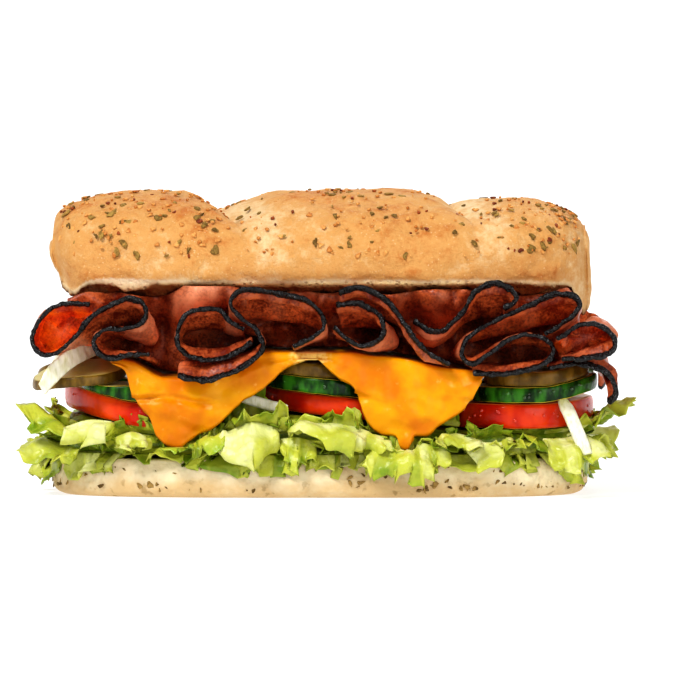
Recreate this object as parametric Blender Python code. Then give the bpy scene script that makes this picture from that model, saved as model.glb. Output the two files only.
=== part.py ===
"""A half-foot submarine sandwich: two bread halves round stacked fillings.

Metres, +Z up. +X runs along the bread, -Y is the open front side. The object
rests on the flat base of the lower half at z = 0.
"""
import math
import random

import bmesh
import bpy
import numpy as np
from mathutils import Vector

MM = 0.001
SEED = 20

# Bread, all sizes in millimetres
BREAD_X0 = -80.5
BREAD_X1 = 74.5
BREAD_HALF_DEPTH = 37.5
PLAN_EXPONENT = 3.2
HEEL_HEIGHT = 11.0
HEEL_BASE_INSET = 3.0
CUT_HEIGHT = 61.0
CROWN_HEIGHT = 87.6
CROWN_BELLY = 7.0
GROOVE_X = (-34.3, 32.7)
GROOVE_DEPTH = (4.6, 2.8)
GROOVE_WIDTH = (3.6, 3.8)
GROOVE_SLANT = 0.31
CROWN_FLAKES = 34
HEEL_FLAKES = 10
FLAKE_SIDES = 5
FLAKE_SPACING = 4.5

# Fillings
GAP = 0.35
BED_Z = 11.5
SHEET_REACH = 38.0
CHEESE_THICKNESS = 1.6
MEAT_THICKNESS = 1.3
MEAT_FRONT = 43.5
MEAT_SHOULDER = 40.6
MEAT_INNER = 28.0
MEAT_PINCH_LEFT = 8.0
MEAT_PINCH_RIGHT = 1.5
LEAF_THICKNESS = 0.8

# The rim of each folded meat slice, seen from the front: (x, z) of its bends
MEAT_FOLDS = {
    "meat_1": ((-68.6, 55.8), (-74.0, 56.2), (-80.1, 54.4), (-84.0, 49.6), (-84.9, 44.6), (-82.2, 41.2),
               (-77.6, 42.2), (-73.2, 46.0), (-69.4, 50.9), (-64.4, 54.6), (-58.2, 57.6), (-53.6, 56.6),
               (-52.4, 53.2), (-54.6, 49.8), (-59.6, 48.8), (-64.6, 48.6), (-67.3, 45.6), (-66.0, 41.8),
               (-61.6, 40.2), (-56.6, 41.4), (-51.6, 41.6)),
    "meat_2": ((-22.4, 45.0), (-26.4, 42.0), (-32.4, 39.9), (-38.4, 40.4), (-42.8, 43.4), (-43.6, 47.8),
               (-41.0, 52.8), (-35.6, 54.6), (-31.0, 53.8), (-28.4, 50.8), (-24.6, 48.8)),
    "meat_3": ((-10.4, 43.8), (-5.6, 46.4), (-1.9, 49.2), (-2.6, 53.6), (-7.4, 57.4), (-14.6, 59.2),
               (-22.6, 60.4), (-27.6, 58.6), (-28.0, 54.8), (-24.4, 51.4), (-20.6, 48.0), (-19.2, 43.6),
               (-22.6, 39.2), (-28.6, 36.0), (-36.4, 34.0), (-43.2, 35.6)),
    "meat_4": ((2.0, 55.6), (6.2, 56.3), (11.2, 55.2), (14.8, 51.4), (15.2, 47.6), (12.0, 44.6),
               (7.2, 44.4), (4.4, 46.6), (1.2, 49.4)),
    "meat_5": ((2.6, 59.6), (7.6, 61.0), (12.6, 59.6), (16.6, 56.8), (19.6, 53.0), (22.4, 48.6),
               (25.6, 44.6), (29.4, 41.0), (34.2, 39.0)),
    "meat_6": ((24.2, 51.6), (28.4, 48.6), (32.4, 48.8), (36.0, 51.6), (38.8, 55.6), (42.2, 60.2),
               (46.8, 62.0), (51.2, 60.8), (53.0, 57.4), (49.8, 54.6)),
    "meat_7": ((61.4, 47.6), (65.4, 49.8), (69.4, 52.6), (71.4, 55.8), (69.2, 58.6), (63.4, 58.6),
               (56.4, 55.4), (49.6, 52.4), (43.0, 49.2), (38.8, 45.6), (37.6, 41.2), (40.6, 38.8),
               (45.4, 41.4), (51.0, 45.8), (56.6, 47.2), (61.6, 45.8), (63.8, 42.2), (60.6, 38.6),
               (54.6, 36.6), (47.4, 35.6), (41.0, 36.4)),
    "meat_8": ((64.8, 46.0), (69.2, 49.0), (74.6, 50.4), (79.4, 48.2), (81.4, 44.2), (78.2, 41.0),
               (72.2, 40.4), (66.2, 40.2)),
    "meat_9": ((62.6, 37.6), (67.0, 38.4), (72.4, 38.4), (77.4, 36.8), (80.8, 33.6), (81.6, 30.2),
               (79.6, 27.6)),
}

# Lower edge of each hanging cheese slice, seen from the front: (x, z)
CHEESE_HEMS = {
    "cheese_1": ((-62.0, 38.6), (-58.6, 36.6), (-56.4, 29.6), (-52.2, 24.6), (-49.8, 18.8),
                 (-46.4, 15.6), (-42.4, 15.4), (-38.4, 18.2), (-32.0, 21.8), (-25.0, 28.4),
                 (-18.7, 32.4), (-12.0, 38.0), (-4.0, 40.6)),
    "cheese_2": ((-3.2, 40.2), (1.6, 35.6), (6.8, 32.0), (10.4, 23.0), (14.0, 19.0), (18.8, 18.4),
                 (20.2, 14.8), (22.6, 14.8), (24.0, 18.4), (28.4, 18.8), (32.0, 22.0), (38.6, 26.4),
                 (43.4, 33.4)),
}

# name: colour, roughness
FINISHES = {
    "crust": ((0.74, 0.45, 0.17), 0.75),
    "crumb": ((0.80, 0.66, 0.42), 0.85),
    "lettuce": ((0.38, 0.60, 0.09), 0.45),
    "tomato": ((0.62, 0.05, 0.02), 0.25),
    "cucumber": ((0.04, 0.18, 0.03), 0.35),
    "pickle": ((0.24, 0.18, 0.04), 0.35),
    "cheese": ((0.90, 0.42, 0.01), 0.30),
    "onion": ((0.78, 0.80, 0.62), 0.30),
    "meat": ((0.28, 0.04, 0.02), 0.35),
}


def clamp(value, low, high):
    return max(low, min(high, value))


def smooth(value, start, end):
    """0 before start, 1 after end, with a smooth rise."""
    share = clamp((value - start) / (end - start), 0.0, 1.0)
    return share * share * (3.0 - 2.0 * share)


def ramp(value, width):
    """A soft kink: 0 well below zero, the value itself well above."""
    if value > 12.0 * width:
        return value
    return width * math.log1p(math.exp(value / width))


def bell(value, centre, width):
    return math.exp(-((value - centre) / width) ** 2)


def clear_scene():
    for item in list(bpy.data.objects):
        bpy.data.objects.remove(item, do_unlink=True)


def make_finish(name):
    colour, roughness = FINISHES[name]
    material = bpy.data.materials.new(name)
    material.use_nodes = True
    shader = material.node_tree.nodes["Principled BSDF"]
    shader.inputs["Base Color"].default_value = (*colour, 1.0)
    shader.inputs["Roughness"].default_value = roughness
    shader.inputs["Metallic"].default_value = 0.0
    return material


def finish(name):
    return bpy.data.materials.get(name) or make_finish(name)


def make_node(name, points, faces, material, sharp=50.0):
    """One mesh object from points in millimetres, with outward faces."""
    mesh = bpy.data.meshes.new(name)
    mesh.from_pydata([Vector(point) * MM for point in points], [], faces)
    body = bmesh.new()
    body.from_mesh(mesh)
    bmesh.ops.recalc_face_normals(body, faces=body.faces)
    if body.calc_volume(signed=True) < 0.0:
        bmesh.ops.reverse_faces(body, faces=body.faces)
    body.to_mesh(mesh)
    body.free()
    item = bpy.data.objects.new(name, mesh)
    bpy.context.scene.collection.objects.link(item)
    mesh.shade_smooth()
    mesh.set_sharp_from_angle(angle=math.radians(sharp))
    mesh.materials.append(finish(material))
    return item


def split_quad(a, b, c, d):
    return [(a, b, c), (a, c, d)]


def tube_faces(rings, sides, capped=True):
    """Faces between closed rings of points, with a fan point at each end."""
    faces = []
    for ring in range(rings - 1):
        for side in range(sides):
            after = (side + 1) % sides
            low = ring * sides
            faces += split_quad(low + side, low + after, low + sides + after, low + sides + side)
    if capped:
        first = rings * sides
        last = (rings - 1) * sides
        for side in range(sides):
            after = (side + 1) % sides
            faces.append((first, after, side))
            faces.append((first + 1, last + side, last + after))
    return faces


def add_tube(name, rings, material, sharp=50.0):
    points = [point for ring in rings for point in ring]
    for ring in (rings[0], rings[-1]):
        points.append(tuple(sum(axis) / len(ring) for axis in zip(*ring)))
    return make_node(name, points, tube_faces(len(rings), len(rings[0])), material, sharp)


def slab_faces(rows, columns):
    """Faces of a solid between two grids of points, both split alike."""
    faces = []
    far = rows * columns
    for row in range(rows - 1):
        for column in range(columns - 1):
            a = row * columns + column
            b, c, d = a + 1, a + columns + 1, a + columns
            faces += split_quad(a, b, c, d)
            faces += [tuple(reversed([index + far for index in face])) for face in split_quad(a, b, c, d)]
    rim = [column for column in range(columns)]
    rim += [row * columns + columns - 1 for row in range(1, rows)]
    rim += [(rows - 1) * columns + column for column in range(columns - 2, -1, -1)]
    rim += [row * columns for row in range(rows - 2, 0, -1)]
    for index, start in enumerate(rim):
        end = rim[(index + 1) % len(rim)]
        faces += split_quad(end, start, start + far, end + far)
    return faces


def add_slab(name, near, far, material, sharp=50.0):
    """A closed sheet between two equal grids, given as rows of points."""
    points = [point for row in near for point in row] + [point for row in far for point in row]
    return make_node(name, points, slab_faces(len(near), len(near[0])), material, sharp)


def offset_grid(grid, distance):
    """A grid moved along its own surface normals."""
    array = np.array(grid, dtype=float)
    along_rows = np.gradient(array, axis=0)
    along_columns = np.gradient(array, axis=1)
    normal = np.cross(along_rows, along_columns)
    normal /= np.maximum(np.linalg.norm(normal, axis=2, keepdims=True), 1e-9)
    return (array + normal * distance).tolist()


def bread_reach(x, exponent_left=PLAN_EXPONENT, exponent_right=PLAN_EXPONENT):
    """Share of the full width that the bread keeps at x, 0 to 1."""
    middle = (BREAD_X0 + BREAD_X1) / 2.0
    half = (BREAD_X1 - BREAD_X0) / 2.0
    exponent = exponent_left if x < middle else exponent_right
    share = clamp(abs(x - middle) / half, 0.0, 1.0)
    return (1.0 - share ** exponent) ** (1.0 / exponent)


def groove(x, y):
    """Depth of the two slanting creases between the three lobes."""
    depth = 0.0
    for centre, deepest, width in zip(GROOVE_X, GROOVE_DEPTH, GROOVE_WIDTH):
        offset = x - (centre - GROOVE_SLANT * y)
        side = width if offset < 0.0 else width * 2.2
        depth += deepest * math.exp(-abs(offset / side) ** 1.5) * (1.0 - 0.55 * smooth(-y, 8.0, 34.0))
    return depth


def cut_edge(x):
    """Height of the upper half's cut edge: the right end hooks down."""
    hook = 8.6 * bell(x, 73.4, 2.6)
    lip = 3.6 * bell(x, -76.0, 5.0)
    return CUT_HEIGHT - 1.0 * smooth(x, 50.0, 68.0) - hook - lip


def cut_face(x, y):
    """Height of the bellied crumb face under the upper half."""
    across = clamp(abs(y) / 36.0, 0.0, 1.0)
    along = smooth(x, BREAD_X0 + 2.0, BREAD_X0 + 16.0) * (1.0 - smooth(x, BREAD_X1 - 17.0, BREAD_X1 - 5.0))
    return cut_edge(x) - CROWN_BELLY * along * (1.0 - across ** 2.0)


def add_crown():
    """Upper bread half: three lobes of one loaf, hollow grooves between."""
    stations = [BREAD_X0, BREAD_X0 + 0.5, BREAD_X0 + 1.6, BREAD_X0 + 3.6, BREAD_X0 + 6.4]
    x = stations[-1]
    while x < BREAD_X1 - 8.0:
        near_groove = min(abs(x - centre) for centre in GROOVE_X) < 13.0
        x += 3.2 if near_groove else 6.4
        stations.append(x)
    stations[-1] = BREAD_X1 - 7.0
    stations += [BREAD_X1 - 4.6, BREAD_X1 - 2.6, BREAD_X1 - 1.1, BREAD_X1 - 0.3, BREAD_X1]
    rings = []
    for x in stations:
        reach = bread_reach(x, 5.0, 3.4)
        end_left = smooth(x, BREAD_X0 - 0.5, BREAD_X0 + 6.0)
        half = BREAD_HALF_DEPTH * max(bread_reach(x), 0.34)
        edge = cut_edge(x)
        shoulder = 66.0 + 4.0 * (1.0 - max(reach, 0.4))
        rise = (CROWN_HEIGHT - shoulder) * max(reach, 0.0) ** 0.82
        rise = max(rise, 9.0 * (0.6 + 0.4 * end_left))
        if x <= BREAD_X0 or x >= BREAD_X1:
            edge = max(edge, 58.0) + (4.5 if x < 0.0 else 0.0)
            rise *= 0.8
        ring = []
        for step in range(15):
            angle = math.pi * step / 14.0
            y = half * math.copysign(abs(math.cos(angle)) ** 0.86, math.cos(angle))
            z = shoulder + rise * math.sin(angle) ** 0.78
            z -= groove(x, y) * smooth(z, shoulder + 1.0, shoulder + rise * 0.6 + 1.5) * min(1.0, rise / 12.0)
            ring.append((x, y, z))
        inner = half - 1.7
        ring.append((x, -half + 0.25, (shoulder + edge) / 2.0 + 0.8))
        for share in (-1.0, -0.86, -0.5, 0.0, 0.5, 0.86, 1.0):
            y = inner * share
            z = edge if abs(share) == 1.0 else edge - (cut_edge(x) - cut_face(x, 36.0 * share))
            ring.append((x, y, z))
        ring.append((x, half - 0.25, (shoulder + edge) / 2.0 + 0.8))
        rings.append(ring)
    return add_tube("top_bun", rings, "crust", 60.0)


def surface_hit(item, origin, direction):
    """Point and normal where a ray meets an item, in millimetres."""
    hit, point, normal, _ = item.ray_cast(Vector(origin) * MM, Vector(direction))
    return (point / MM, normal) if hit else None


def flake(name, centre, normal, length, width, height, turn, collection):
    """A small herb flake: a low five-sided lens half sunk into the crust."""
    mesh = bpy.data.meshes.new(name)
    up = normal.normalized()
    side = up.cross(Vector((0.31, 0.22, 0.92))).normalized()
    other = up.cross(side)
    along = side * math.cos(turn) + other * math.sin(turn)
    across = up.cross(along)
    points = []
    for reach, lift in ((0.62, -1.1), (1.0, 0.0), (0.55, 1.0)):
        for index in range(FLAKE_SIDES):
            angle = 2.0 * math.pi * index / FLAKE_SIDES
            offset = along * (math.cos(angle) * length / 2.0 * reach)
            offset += across * (math.sin(angle) * width / 2.0 * reach)
            points.append((centre + offset + up * (height * lift)) * MM)
    faces = []
    for ring in range(2):
        for index in range(FLAKE_SIDES):
            after = (index + 1) % FLAKE_SIDES
            low = ring * FLAKE_SIDES
            high = low + FLAKE_SIDES
            faces += split_quad(low + index, low + after, high + after, high + index)
    faces.append(tuple(reversed(range(FLAKE_SIDES))))
    faces.append(tuple(range(2 * FLAKE_SIDES, 3 * FLAKE_SIDES)))
    mesh.from_pydata(points, [], faces)
    body = bmesh.new()
    body.from_mesh(mesh)
    bmesh.ops.recalc_face_normals(body, faces=body.faces)
    body.to_mesh(mesh)
    body.free()
    item = bpy.data.objects.new(name, mesh)
    collection.objects.link(item)
    return item


def fuse(item, collection):
    """Joins everything in a collection onto an item, then drops the pieces."""
    modifier = item.modifiers.new("fuse", "BOOLEAN")
    modifier.operation = "UNION"
    modifier.operand_type = "COLLECTION"
    modifier.collection = collection
    modifier.solver = "MANIFOLD"
    graph = bpy.context.evaluated_depsgraph_get()
    fused = bpy.data.meshes.new_from_object(item.evaluated_get(graph))
    item.modifiers.clear()
    item.data = fused
    item.data.name = item.name
    for piece in list(collection.objects):
        bpy.data.objects.remove(piece, do_unlink=True)
    bpy.data.collections.remove(collection)


def new_collection(name):
    collection = bpy.data.collections.new(name)
    bpy.context.scene.collection.children.link(collection)
    return collection


def add_crown_flakes(crown, draw):
    """The largest herb flakes and toasted bits, spread over the crust."""
    bpy.context.view_layer.update()
    collection = new_collection("crown_flakes")
    centres = []
    turn = 0
    while len(centres) < CROWN_FLAKES:
        turn += 1
        x = BREAD_X0 + 7.0 + (BREAD_X1 - BREAD_X0 - 14.0) * ((turn * 0.618034) % 1.0)
        angle = math.radians(draw.uniform(18.0, 162.0))
        direction = Vector((0.0, -math.cos(angle), -math.sin(angle)))
        hit = surface_hit(crown, Vector((x, 0.0, 66.0)) - direction * 80.0, direction)
        length = draw.uniform(1.9, 3.4)
        shape = length * draw.uniform(0.45, 0.8), draw.uniform(0.45, 0.7), draw.uniform(0.0, math.pi)
        if hit and all((hit[0] - centre).length > FLAKE_SPACING for centre in centres):
            flake(f"crown_flake_{turn}", hit[0], hit[1], length, *shape, collection)
            centres.append(hit[0])
    fuse(crown, collection)


def heel_outline(inset, sides):
    """Points of the bread's plan outline, drawn in by an inset."""
    middle = (BREAD_X0 + BREAD_X1) / 2.0
    half_x = (BREAD_X1 - BREAD_X0) / 2.0 - inset
    half_y = BREAD_HALF_DEPTH - inset
    ring = []
    for side in range(sides):
        angle = 2.0 * math.pi * side / sides
        cosine, sine = math.cos(angle), math.sin(angle)
        x = middle + half_x * math.copysign(abs(cosine) ** (2.0 / PLAN_EXPONENT), cosine)
        y = half_y * math.copysign(abs(sine) ** (2.0 / PLAN_EXPONENT), sine)
        ring.append((x, y))
    return ring


def add_heel():
    """Lower bread half with a flat base and a flat cut face."""
    sides = 44
    profile = ((HEEL_BASE_INSET, 0.0), (1.1, 1.0), (0.1, 3.4), (0.0, 7.0), (0.5, 10.2), (1.2, HEEL_HEIGHT))
    points = []
    for inset, z in profile:
        wave = 0.25 if 0.0 < z < HEEL_HEIGHT else 0.0
        for side, (x, y) in enumerate(heel_outline(inset, sides)):
            points.append((x + wave * math.sin(side * 1.9 + z), y + wave * math.cos(side * 2.3 + z), z))
    faces = tube_faces(len(profile), sides, capped=False)
    faces.append(tuple(reversed(range(sides))))
    faces.append(tuple(range((len(profile) - 1) * sides, len(profile) * sides)))
    return make_node("bottom_bun", points, faces, "crumb", 50.0)


def add_heel_flakes(heel, draw):
    bpy.context.view_layer.update()
    collection = new_collection("heel_flakes")
    for index in range(HEEL_FLAKES):
        side = -1.0 if index % 2 else 1.0
        x = BREAD_X0 + 12.0 + (BREAD_X1 - BREAD_X0 - 24.0) * ((index * 0.618034) % 1.0)
        hit = surface_hit(heel, (x, side * 80.0, draw.uniform(2.6, 5.4)), (0.0, -side, 0.0))
        if hit:
            length = draw.uniform(1.8, 2.8)
            flake(f"heel_flake_{index}", hit[0], hit[1], length, length * 0.6, 0.4,
                  draw.uniform(0.0, math.pi), collection)
    fuse(heel, collection)


def tomato_1_low(x):
    return 20.0 + 0.23 * ramp(-55.0 - x, 2.0)


def tomato_2_low(x):
    return 25.3 - 0.1 * (x + 20.0)


def tomato_3_low(x):
    return 19.7 + 0.12 * ramp(x - 66.0, 2.0)


def bed_top(x):
    """Upper side of the lettuce bed, a little under the tomato slices."""
    left = tomato_1_low(x)
    middle = tomato_2_low(x)
    right = tomato_3_low(x)
    height = left + (middle - left) * smooth(x, -22.6, -17.0)
    height += (right - height) * smooth(x, 28.0, 34.0)
    return height - GAP - 0.25


def cheese_top(x):
    """Upper side of the melted cheese along the sandwich."""
    height = 40.6 - 1.0 * smooth(x, -62.0, -57.0)
    height -= 4.9 * smooth(x, -58.0, -47.0)
    height += 7.2 * smooth(x, -36.0, -19.0)
    height -= 1.2 * smooth(x, 6.0, 14.0)
    height -= 3.9 * smooth(x, 14.0, 40.0)
    return height


def pickle_1_low(x, y):
    return 31.7 + 0.15 * (36.0 - abs(y)) + 0.06 * (x + 76.0) - 0.25 * ramp(-77.0 - x, 1.5)


def cucumber_1_low(x):
    return tomato_1_low(x) + 7.2


def cucumber_2_low(x):
    return tomato_2_low(x) + 6.2


def cucumber_3_low(x):
    return tomato_3_low(x) + 7.5 + 0.16 * ramp(x - 62.0, 2.0)


# name: material, centre x, radius x, centre y, radius y, lower side, thickness
def disc_table():
    """Every round slice: place, radii, lower side and thickness."""
    table = {
        "tomato_1": ("tomato", -50.0, 27.0, -1.5, 33.5, lambda x, y: tomato_1_low(x), lambda x: 6.8),
        "tomato_2": ("tomato", 4.4, 26.2, -1.5, 33.5, lambda x, y: tomato_2_low(x), lambda x: 5.8),
        "tomato_3": ("tomato", 53.8, 22.6, -1.5, 33.0, lambda x, y: tomato_3_low(x), lambda x: 7.1),
    }
    rounds = (
        ("cucumber_1", "cucumber", -57.5, 14.0, lambda x, y: cucumber_1_low(x),
         lambda x: clamp(32.2 - cucumber_1_low(x), 2.4, 5.4)),
        ("cucumber_3", "cucumber", -1.0, 18.0, lambda x, y: cucumber_2_low(x), lambda x: 4.5),
        ("cucumber_5", "cucumber", 58.7, 18.2, lambda x, y: cucumber_3_low(x), lambda x: 4.5),
        ("pickle_1", "pickle", -72.0, 13.6, pickle_1_low, lambda x: 2.9),
        ("pickle_3", "pickle", -5.5, 12.6, lambda x, y: cucumber_2_low(x) + 4.5 + GAP, lambda x: 3.6),
        ("pickle_5", "pickle", 59.4, 15.1, lambda x, y: cucumber_3_low(x) + 4.5 + GAP, lambda x: 3.9),
    )
    for name, material, centre, radius, low, thickness in rounds:
        root, number = name.split("_")
        front = -(SHEET_REACH - 1.2 - radius)
        table[name] = (material, centre, radius, front, radius, low, thickness)
        twin = f"{root}_{int(number) + 1}"
        table[twin] = (material, centre, radius, -front, radius, low, thickness)
    return table


def add_disc(name, material, centre_x, radius_x, centre_y, radius_y, low, thickness, sides=20):
    """A round slice with a softened rim that follows the layer under it."""
    points = []
    levels = ((0.55, 0.0), (0.95, 0.0), (1.0, 0.24), (1.0, 0.76), (0.95, 1.0), (0.55, 1.0))
    if radius_x < 20.0:
        sides = 18
        levels = ((0.94, 0.0), (1.0, 0.25), (1.0, 0.75), (0.94, 1.0))
    for reach, share in levels:
        for side in range(sides):
            angle = 2.0 * math.pi * side / sides
            wobble = 1.0 + 0.012 * math.sin(3.0 * angle + centre_x)
            x = centre_x + radius_x * reach * wobble * math.cos(angle)
            y = centre_y + radius_y * reach * wobble * math.sin(angle)
            points.append((x, y, low(x, y) + thickness(x) * share))
    faces = tube_faces(len(levels), sides)
    for share in (0.0, 1.0):
        points.append((centre_x, centre_y, low(centre_x, centre_y) + thickness(centre_x) * share))
    return make_node(name, points, faces, material, 55.0)


def cheese_hem(x):
    """Height of the hanging cheese's lower edge, or None between slices."""
    for hem in CHEESE_HEMS.values():
        if hem[0][0] <= x <= hem[-1][0]:
            places, heights = zip(*hem)
            return float(np.interp(x, places, heights))
    return None


def add_cheese(name, hem):
    """A melted slice: flat inside, bent over the front and back fillings."""
    near = []
    for x, low in hem:
        top = cheese_top(x)
        hang = max(top - 1.2 - low, 0.9)
        row = []
        for side in (1.0, -1.0):
            outer = SHEET_REACH + CHEESE_THICKNESS
            strip = [(x, side * (outer + 0.25), top - 1.2 - hang),
                     (x, side * (outer + 0.35), top - 1.2 - hang * 0.5),
                     (x, side * outer, top - 1.6),
                     (x, side * (outer - 1.5), top - 0.15),
                     (x, side * 22.0, top)]
            row += strip if side > 0.0 else list(reversed(strip))
        near.append(row)
    far = []
    for column, row in enumerate(near):
        x = row[0][0]
        top = cheese_top(x)
        inner = []
        for x, y, z in row:
            side = 1.0 if y > 0.0 else -1.0
            if abs(y) > SHEET_REACH + 0.5:
                fall = min(z, top - CHEESE_THICKNESS - 0.2)
                inner.append((x, y - side * CHEESE_THICKNESS, fall))
            else:
                inner.append((x, y - side * 0.4 * (abs(y) > 30.0), z - CHEESE_THICKNESS))
        far.append(inner)
    return add_slab(name, near, far, "cheese", 60.0)


def spline_points(bends, spacing=0.3):
    """A smooth curve through the bends, as closely spaced points."""
    padded = [bends[0], *bends, bends[-1]]
    points = []
    for index in range(len(bends) - 1):
        p0, p1, p2, p3 = (np.array(point) for point in padded[index:index + 4])
        steps = max(2, int(np.linalg.norm(p2 - p1) / spacing))
        for step in range(steps):
            t = step / steps
            point = 0.5 * (2.0 * p1 + (p2 - p0) * t + (2.0 * p0 - 5.0 * p1 + 4.0 * p2 - p3) * t ** 2
                           + (3.0 * p1 - p0 - 3.0 * p2 + p3) * t ** 3)
            points.append(point)
    points.append(np.array(bends[-1]))
    return points


def thin_out(points, longest=9.0, turn=40.0):
    """Keeps few points on straight runs and more in the bends."""
    kept = [0]
    cost = 0.0
    for index in range(1, len(points) - 1):
        before = points[index] - points[index - 1]
        after = points[index + 1] - points[index]
        sizes = np.linalg.norm(before) * np.linalg.norm(after)
        angle = math.degrees(math.acos(clamp(float(before @ after) / sizes, -1.0, 1.0)))
        cost += float(np.linalg.norm(before)) / longest + angle / turn
        if cost >= 1.0:
            kept.append(index)
            cost = 0.0
    kept.append(len(points) - 1)
    return kept


def meat_floor(x):
    """Lowest reach of the meat folds at the front."""
    height = 39.2 - 5.6 * smooth(x, -55.0, -42.0) + 9.6 * smooth(x, -34.0, -14.0)
    height -= 8.2 * smooth(x, 22.0, 44.0) - 1.6 * smooth(x, 58.0, 62.0)
    return height - 11.0 * smooth(x, 76.5, 80.0)


def bed_under_meat(x):
    """Top of what the meat lies on, well inside the sandwich."""
    cheese = cheese_top(x)
    pickle_left = 40.4 - 0.065 * ramp(-62.0 - x, 1.0)
    height = pickle_left + (cheese - pickle_left) * smooth(x, -61.0, -57.0)
    pickle_right = cucumber_3_low(x) + 4.5 + GAP + 3.9
    height += (max(pickle_right, 36.4) - height) * smooth(x, 38.0, 42.0)
    return height - 11.0 * smooth(x, 76.5, 80.0)


def meat_warp(x, y, z):
    """Carries a rim point at the front to its place further in."""
    depth = abs(y)
    inside = 1.0 - smooth(depth, MEAT_SHOULDER, MEAT_FRONT)
    lean = 1.0 - smooth(depth, 31.0, MEAT_FRONT)
    x_in = x + lean * (3.2 * bell(x, -56.0, 9.0) + 4.6 * bell(x, 12.0, 9.0) - 2.4 * bell(x, 40.0, 7.0))
    pinch = 1.0 - smooth(depth, 10.0, MEAT_FRONT)
    x_in += pinch * (MEAT_PINCH_LEFT * smooth(-x, 50.0, 84.0) - MEAT_PINCH_RIGHT * smooth(x, 50.0, 84.0))
    z_in = z + lean * 3.6 * bell(x, -37.0, 8.0)
    low, high = meat_floor(x), 62.8 + lean * 3.6 * bell(x, -37.0, 8.0)
    under_bread = smooth(x_in, -82.0, -78.0) * (1.0 - smooth(x_in, 70.0, 76.0))
    ceiling = 59.6 - (CROWN_BELLY + 0.4) * (1.0 - smooth(depth, MEAT_INNER, MEAT_SHOULDER))
    ceiling = high + (ceiling - high) * under_bread
    floor = bed_under_meat(x_in) + 0.8
    share = clamp((z_in - low) / (high - low), 0.0, 1.0)
    squashed = floor + share * (ceiling - floor)
    return x_in, y, z_in + (squashed - z_in) * inside


def add_meat(name, bends, front):
    """A thin folded slice that runs through the sandwich."""
    dense = spline_points(bends)
    kept = thin_out(dense)
    stations = (-front, -MEAT_SHOULDER, -MEAT_INNER, MEAT_INNER, MEAT_SHOULDER, front)
    near, far = [], []
    for index in kept:
        before = dense[max(index - 3, 0)]
        after = dense[min(index + 3, len(dense) - 1)]
        along = (after - before) / np.linalg.norm(after - before)
        normal = np.array((-along[1], along[0])) * MEAT_THICKNESS / 2.0
        for side, rows in ((1.0, near), (-1.0, far)):
            x, z = dense[index] + normal * side
            row = []
            for y in stations:
                reach = MEAT_FRONT if abs(y) >= MEAT_FRONT - 0.01 or abs(y) == front else abs(y)
                x_in, _, z_in = meat_warp(x, reach, z)
                row.append((x_in, y, z_in))
            rows.append(row)
    return add_slab(name, near, far, "meat", 60.0)


def add_strip(name, path, width, thickness, across):
    """A strip of onion along a path, with its width along a direction."""
    across = np.array(across, dtype=float)
    across /= np.linalg.norm(across)
    dense = [np.array(point, dtype=float) for point in path]
    near, far = [], []
    for index, point in enumerate(dense):
        before = dense[max(index - 1, 0)]
        after = dense[min(index + 1, len(dense) - 1)]
        normal = np.cross(after - before, across)
        normal /= np.linalg.norm(normal)
        taper = 0.72 if index in (0, len(dense) - 1) else 1.0
        rows = []
        for side in (1.0, -1.0):
            centre = point + normal * side * thickness / 2.0
            rows.append([tuple(centre + across * width * taper * share) for share in (-0.5, 0.0, 0.5)])
        near.append(rows[0])
        far.append(rows[1])
    return add_slab(name, near, far, "onion", 60.0)


ONION_PATHS = {
    "onion_1": (((-68.0, -13.0, 41.4), (-72.5, -22.0, 39.6), (-78.0, -31.0, 37.2), (-81.6, -37.4, 34.4),
                 (-83.4, -39.6, 31.2), (-84.0, -40.4, 28.6)), 4.0, 1.1, (0.8, -0.5, 0.1)),
    "onion_2": (((-27.0, -32.4, 29.4), (-22.0, -33.4, 27.8), (-17.0, -34.2, 26.4), (-12.5, -34.6, 25.6)),
                2.6, 1.2, (0.25, 0.0, 1.0)),
    "onion_3": (((66.8, -30.2, 27.6), (68.6, -34.4, 24.2), (70.4, -38.0, 20.0), (72.2, -40.4, 15.8),
                 (73.6, -41.2, 13.0)), 3.4, 1.2, (1.0, 0.12, 0.25)),
}


def add_onions():
    """Strips that show at the front, and like ones at the back."""
    number = 1
    for path, width, thickness, across in ONION_PATHS.values():
        add_strip(f"onion_{number}", path, width, thickness, across)
        back = tuple((x, -y, z) for x, y, z in path)
        turned = (across[0], -across[1], across[2])
        add_strip(f"onion_{number + 1}", back, width, thickness, turned)
        number += 2


def add_bed():
    """The pressed middle of the lettuce, between bread and tomato."""
    columns, rows = 22, 4
    grid_low, grid_high = [], []
    for column in range(columns):
        x = -75.0 + 145.0 * column / (columns - 1)
        half = 33.5 * max(bread_reach(x), 0.5)
        low, high = [], []
        for row in range(rows):
            y = half * (2.0 * row / (rows - 1) - 1.0)
            dip = 0.5 * (1.0 + math.sin(0.31 * x + 0.23 * y))
            edge = 1.2 if row in (0, rows - 1) or column in (0, columns - 1) else 0.0
            low.append((x, y, BED_Z + 0.2 + 0.4 * dip + edge))
            high.append((x, y, bed_top(x) - 0.5 * dip - edge))
        grid_low.append(low)
        grid_high.append(high)
    return add_slab("lettuce", grid_high, grid_low, "lettuce", 60.0)


def outline_at(share):
    """Point and outward direction on the bread's plan outline."""
    angle = 2.0 * math.pi * share
    middle = (BREAD_X0 + BREAD_X1) / 2.0
    cosine, sine = math.cos(angle), math.sin(angle)
    half_x = (BREAD_X1 - BREAD_X0) / 2.0
    power = 2.0 / PLAN_EXPONENT
    point = Vector((middle + half_x * math.copysign(abs(cosine) ** power, cosine),
                    BREAD_HALF_DEPTH * math.copysign(abs(sine) ** power, sine), 0.0))
    normal = Vector((math.copysign(abs(cosine) ** (2.0 - power), cosine) / half_x,
                     math.copysign(abs(sine) ** (2.0 - power), sine) / BREAD_HALF_DEPTH, 0.0))
    return point, normal.normalized()


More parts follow.
